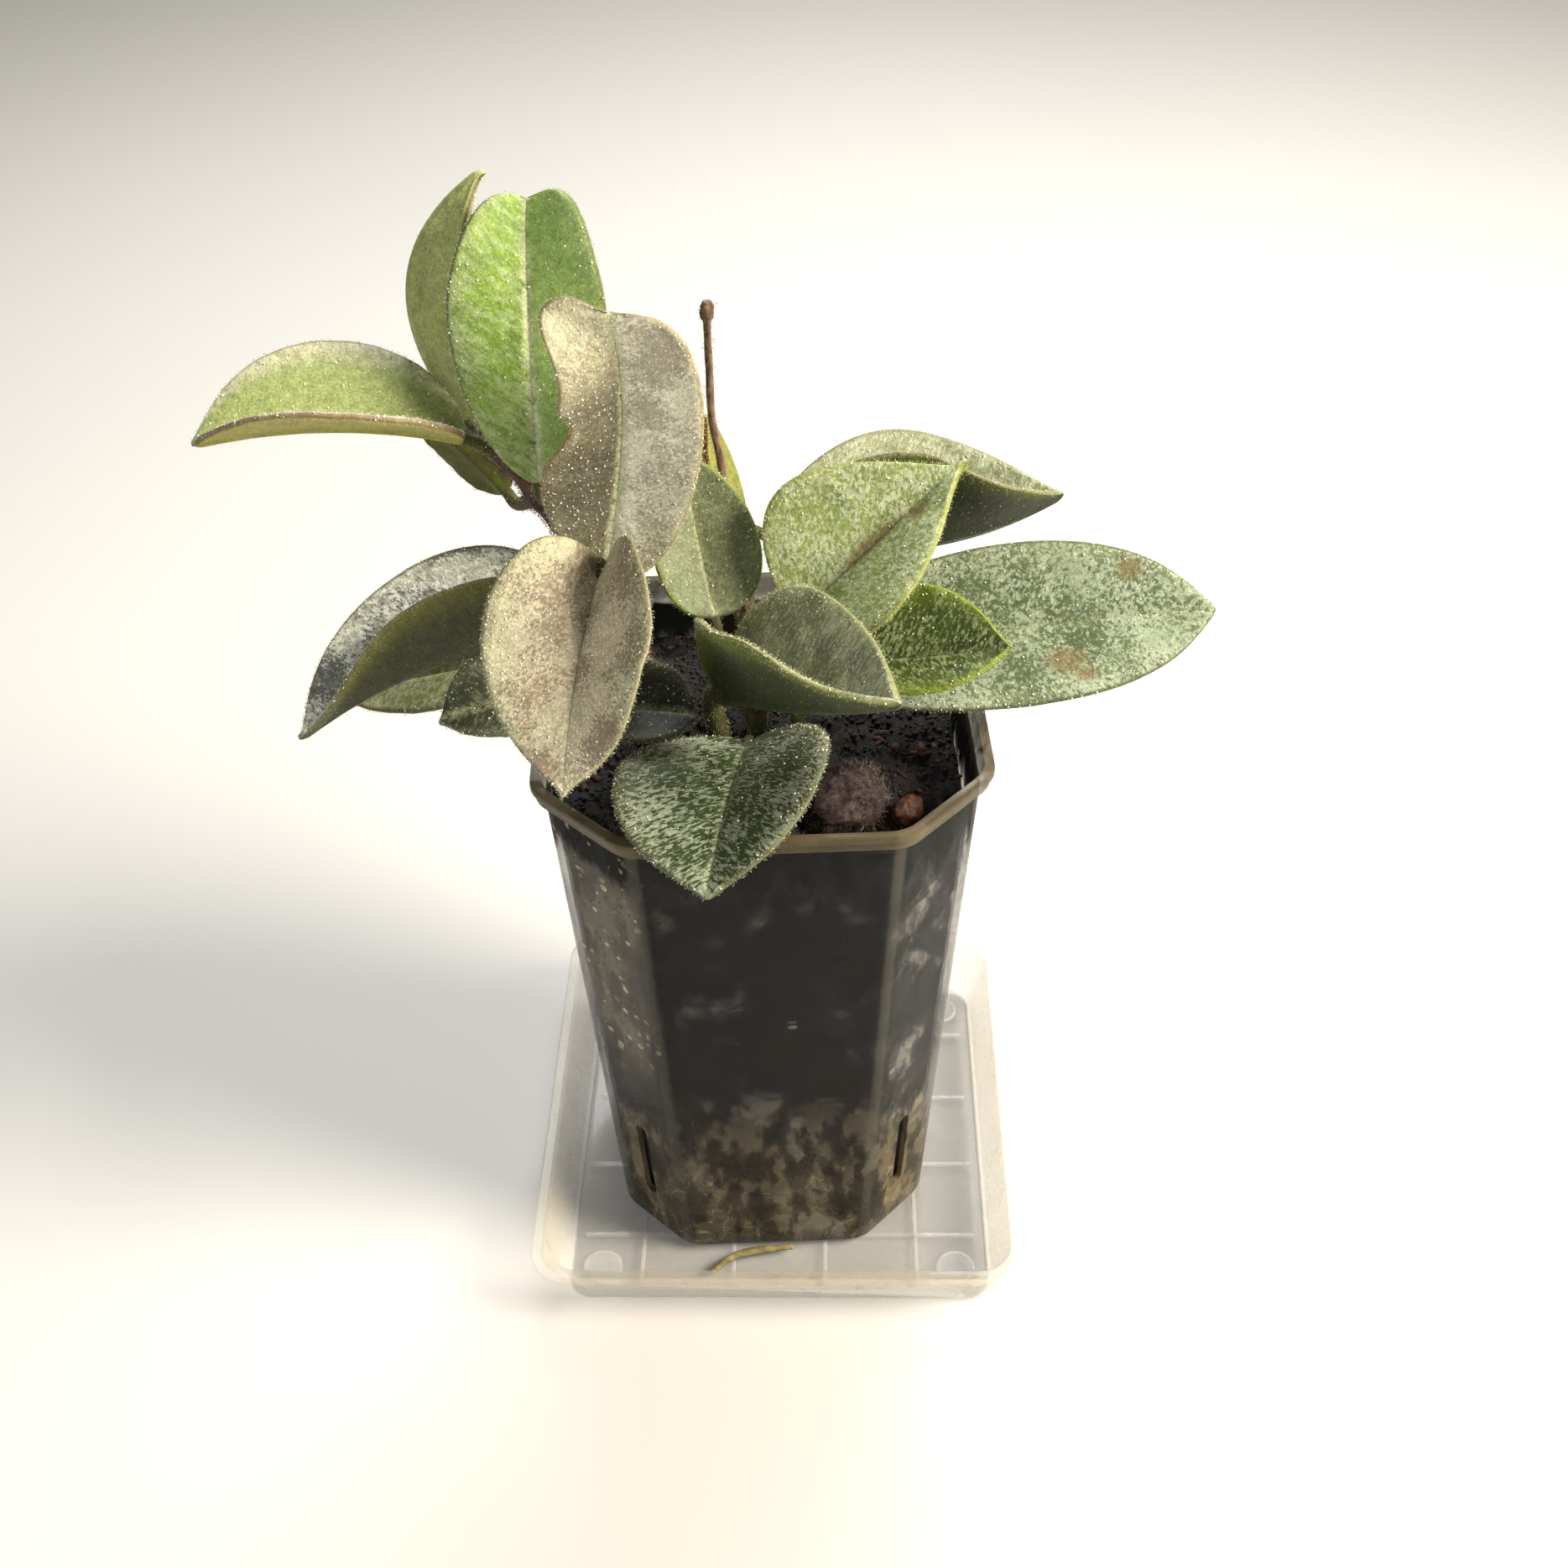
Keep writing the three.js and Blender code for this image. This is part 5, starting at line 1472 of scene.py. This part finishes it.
def make_down(leaves, stems):
    """Short pale down on margins, petioles and stems, and tiny beads of dew along the margins, painted
    near white as glints.
    """
    hair = scatter_tree("down", "hair", sink=-0.42)
    bead = scatter_tree("dew", "grain", (1.0, 1.0, 0.8), sink=-0.2)
    pale = crumb_material("pale_down", "b3ab78", "dcd7b0", 2.0, 0.7)
    brown = crumb_material("brown_down", "6b4a34", "a08462", 2.0, 0.7)
    rows = (
        ("leaf_down", leaves, "down", hair, pale, "leaf_green", 10.0, (0.16, 0.38), 0.7, 21),
        ("stem_down", stems, "down", hair, brown, "brown_stem", 16.0, (0.25, 0.55), 0.5, 22),
        # The dew beads' near-white colour is a painted glint.
        ("leaf_dew", leaves, "dew", bead, dew_glint_material(), "leaf_silver", 0.8, (0.12, 0.32), 0.2, 23),
    )
    for name, meshes, value_name, tree, material, slot, density, sizes, tilt, seed in rows:
        mesh = growth_mesh(name, meshes, value_name)
        scatter(name, mesh, tree, material, slot, density, sizes, tilt, seed)


# Studio

def make_floor():
    size = FLOOR_HALF
    points = [(-size, -size, 0), (size, -size, 0), (size, size, 0), (-size, size, 0)]
    material, shading, surface = new_material("pale_floor")
    tone = shading.noise(shading.place(), 3.0)
    body = shading.mix(tone, "d3d1cb", "d9d7d2")
    shading.dress(surface, body, shading.ramp(tone, 0.3, 0.7, 0.65, 0.75))
    new_object("floor", new_mesh("floor", points, [(0, 1, 2, 3)]), material)


def area_light(name, place, size, power, tint):
    """Round lamp turned to the middle of the plant."""
    data = bpy.data.lights.new(name, "AREA")
    data.shape = "DISK"
    data.size = size * MM
    data.energy = power
    data.color = colour(tint)[:3]
    lamp = bpy.data.objects.new(name, data)
    lamp.location = Vector(place) * MM
    lamp.rotation_mode = "QUATERNION"
    lamp.rotation_quaternion = (Vector(LIGHT_TARGET) - Vector(place)).to_track_quat("-Z", "Y")
    bpy.context.scene.collection.objects.link(lamp)


def make_light():
    area_light("key", (430, -150, 400), 260, 7.0, "fff6e6")
    area_light("back", (60, 360, 520), 300, 3.2, "ffffff")
    area_light("fill", (-300, -420, 380), 420, 1.1, "f6f8ff")
    world = bpy.data.worlds.new("studio")
    bpy.context.scene.world = world
    world.use_nodes = True
    background = world.node_tree.nodes["Background"]
    background.inputs["Color"].default_value = colour("f3f1ea")
    background.inputs["Strength"].default_value = 0.14


def make_camera():
    data = bpy.data.cameras.new("camera")
    data.sensor_width = 36
    data.angle = FIELD_OF_VIEW
    data.clip_start = 0.01
    data.clip_end = 10
    camera = bpy.data.objects.new("camera", data)
    forward = Vector(FORWARD).normalized()
    right = forward.cross(Vector((0, 0, 1))).normalized()
    up = right.cross(forward)
    tilted_right = right * math.cos(CAMERA_ROLL) + up * math.sin(CAMERA_ROLL)
    tilted_up = up * math.cos(CAMERA_ROLL) - right * math.sin(CAMERA_ROLL)
    turn = Matrix((tilted_right, tilted_up, -forward)).transposed()
    camera.matrix_world = Matrix.Translation(Vector(EYE) * MM) @ turn.to_4x4()
    bpy.context.scene.collection.objects.link(camera)
    bpy.context.scene.camera = camera


bpy.context.scene.view_settings.view_transform = "Standard"
make_camera()
make_floor()
make_light()
leaf_meshes = make_leaves()
stem_meshes = make_stems()
make_tray()
make_pot()
make_soil()
make_clump_and_pebble()
make_down(leaf_meshes, stem_meshes)
bpy.context.view_layer.update()
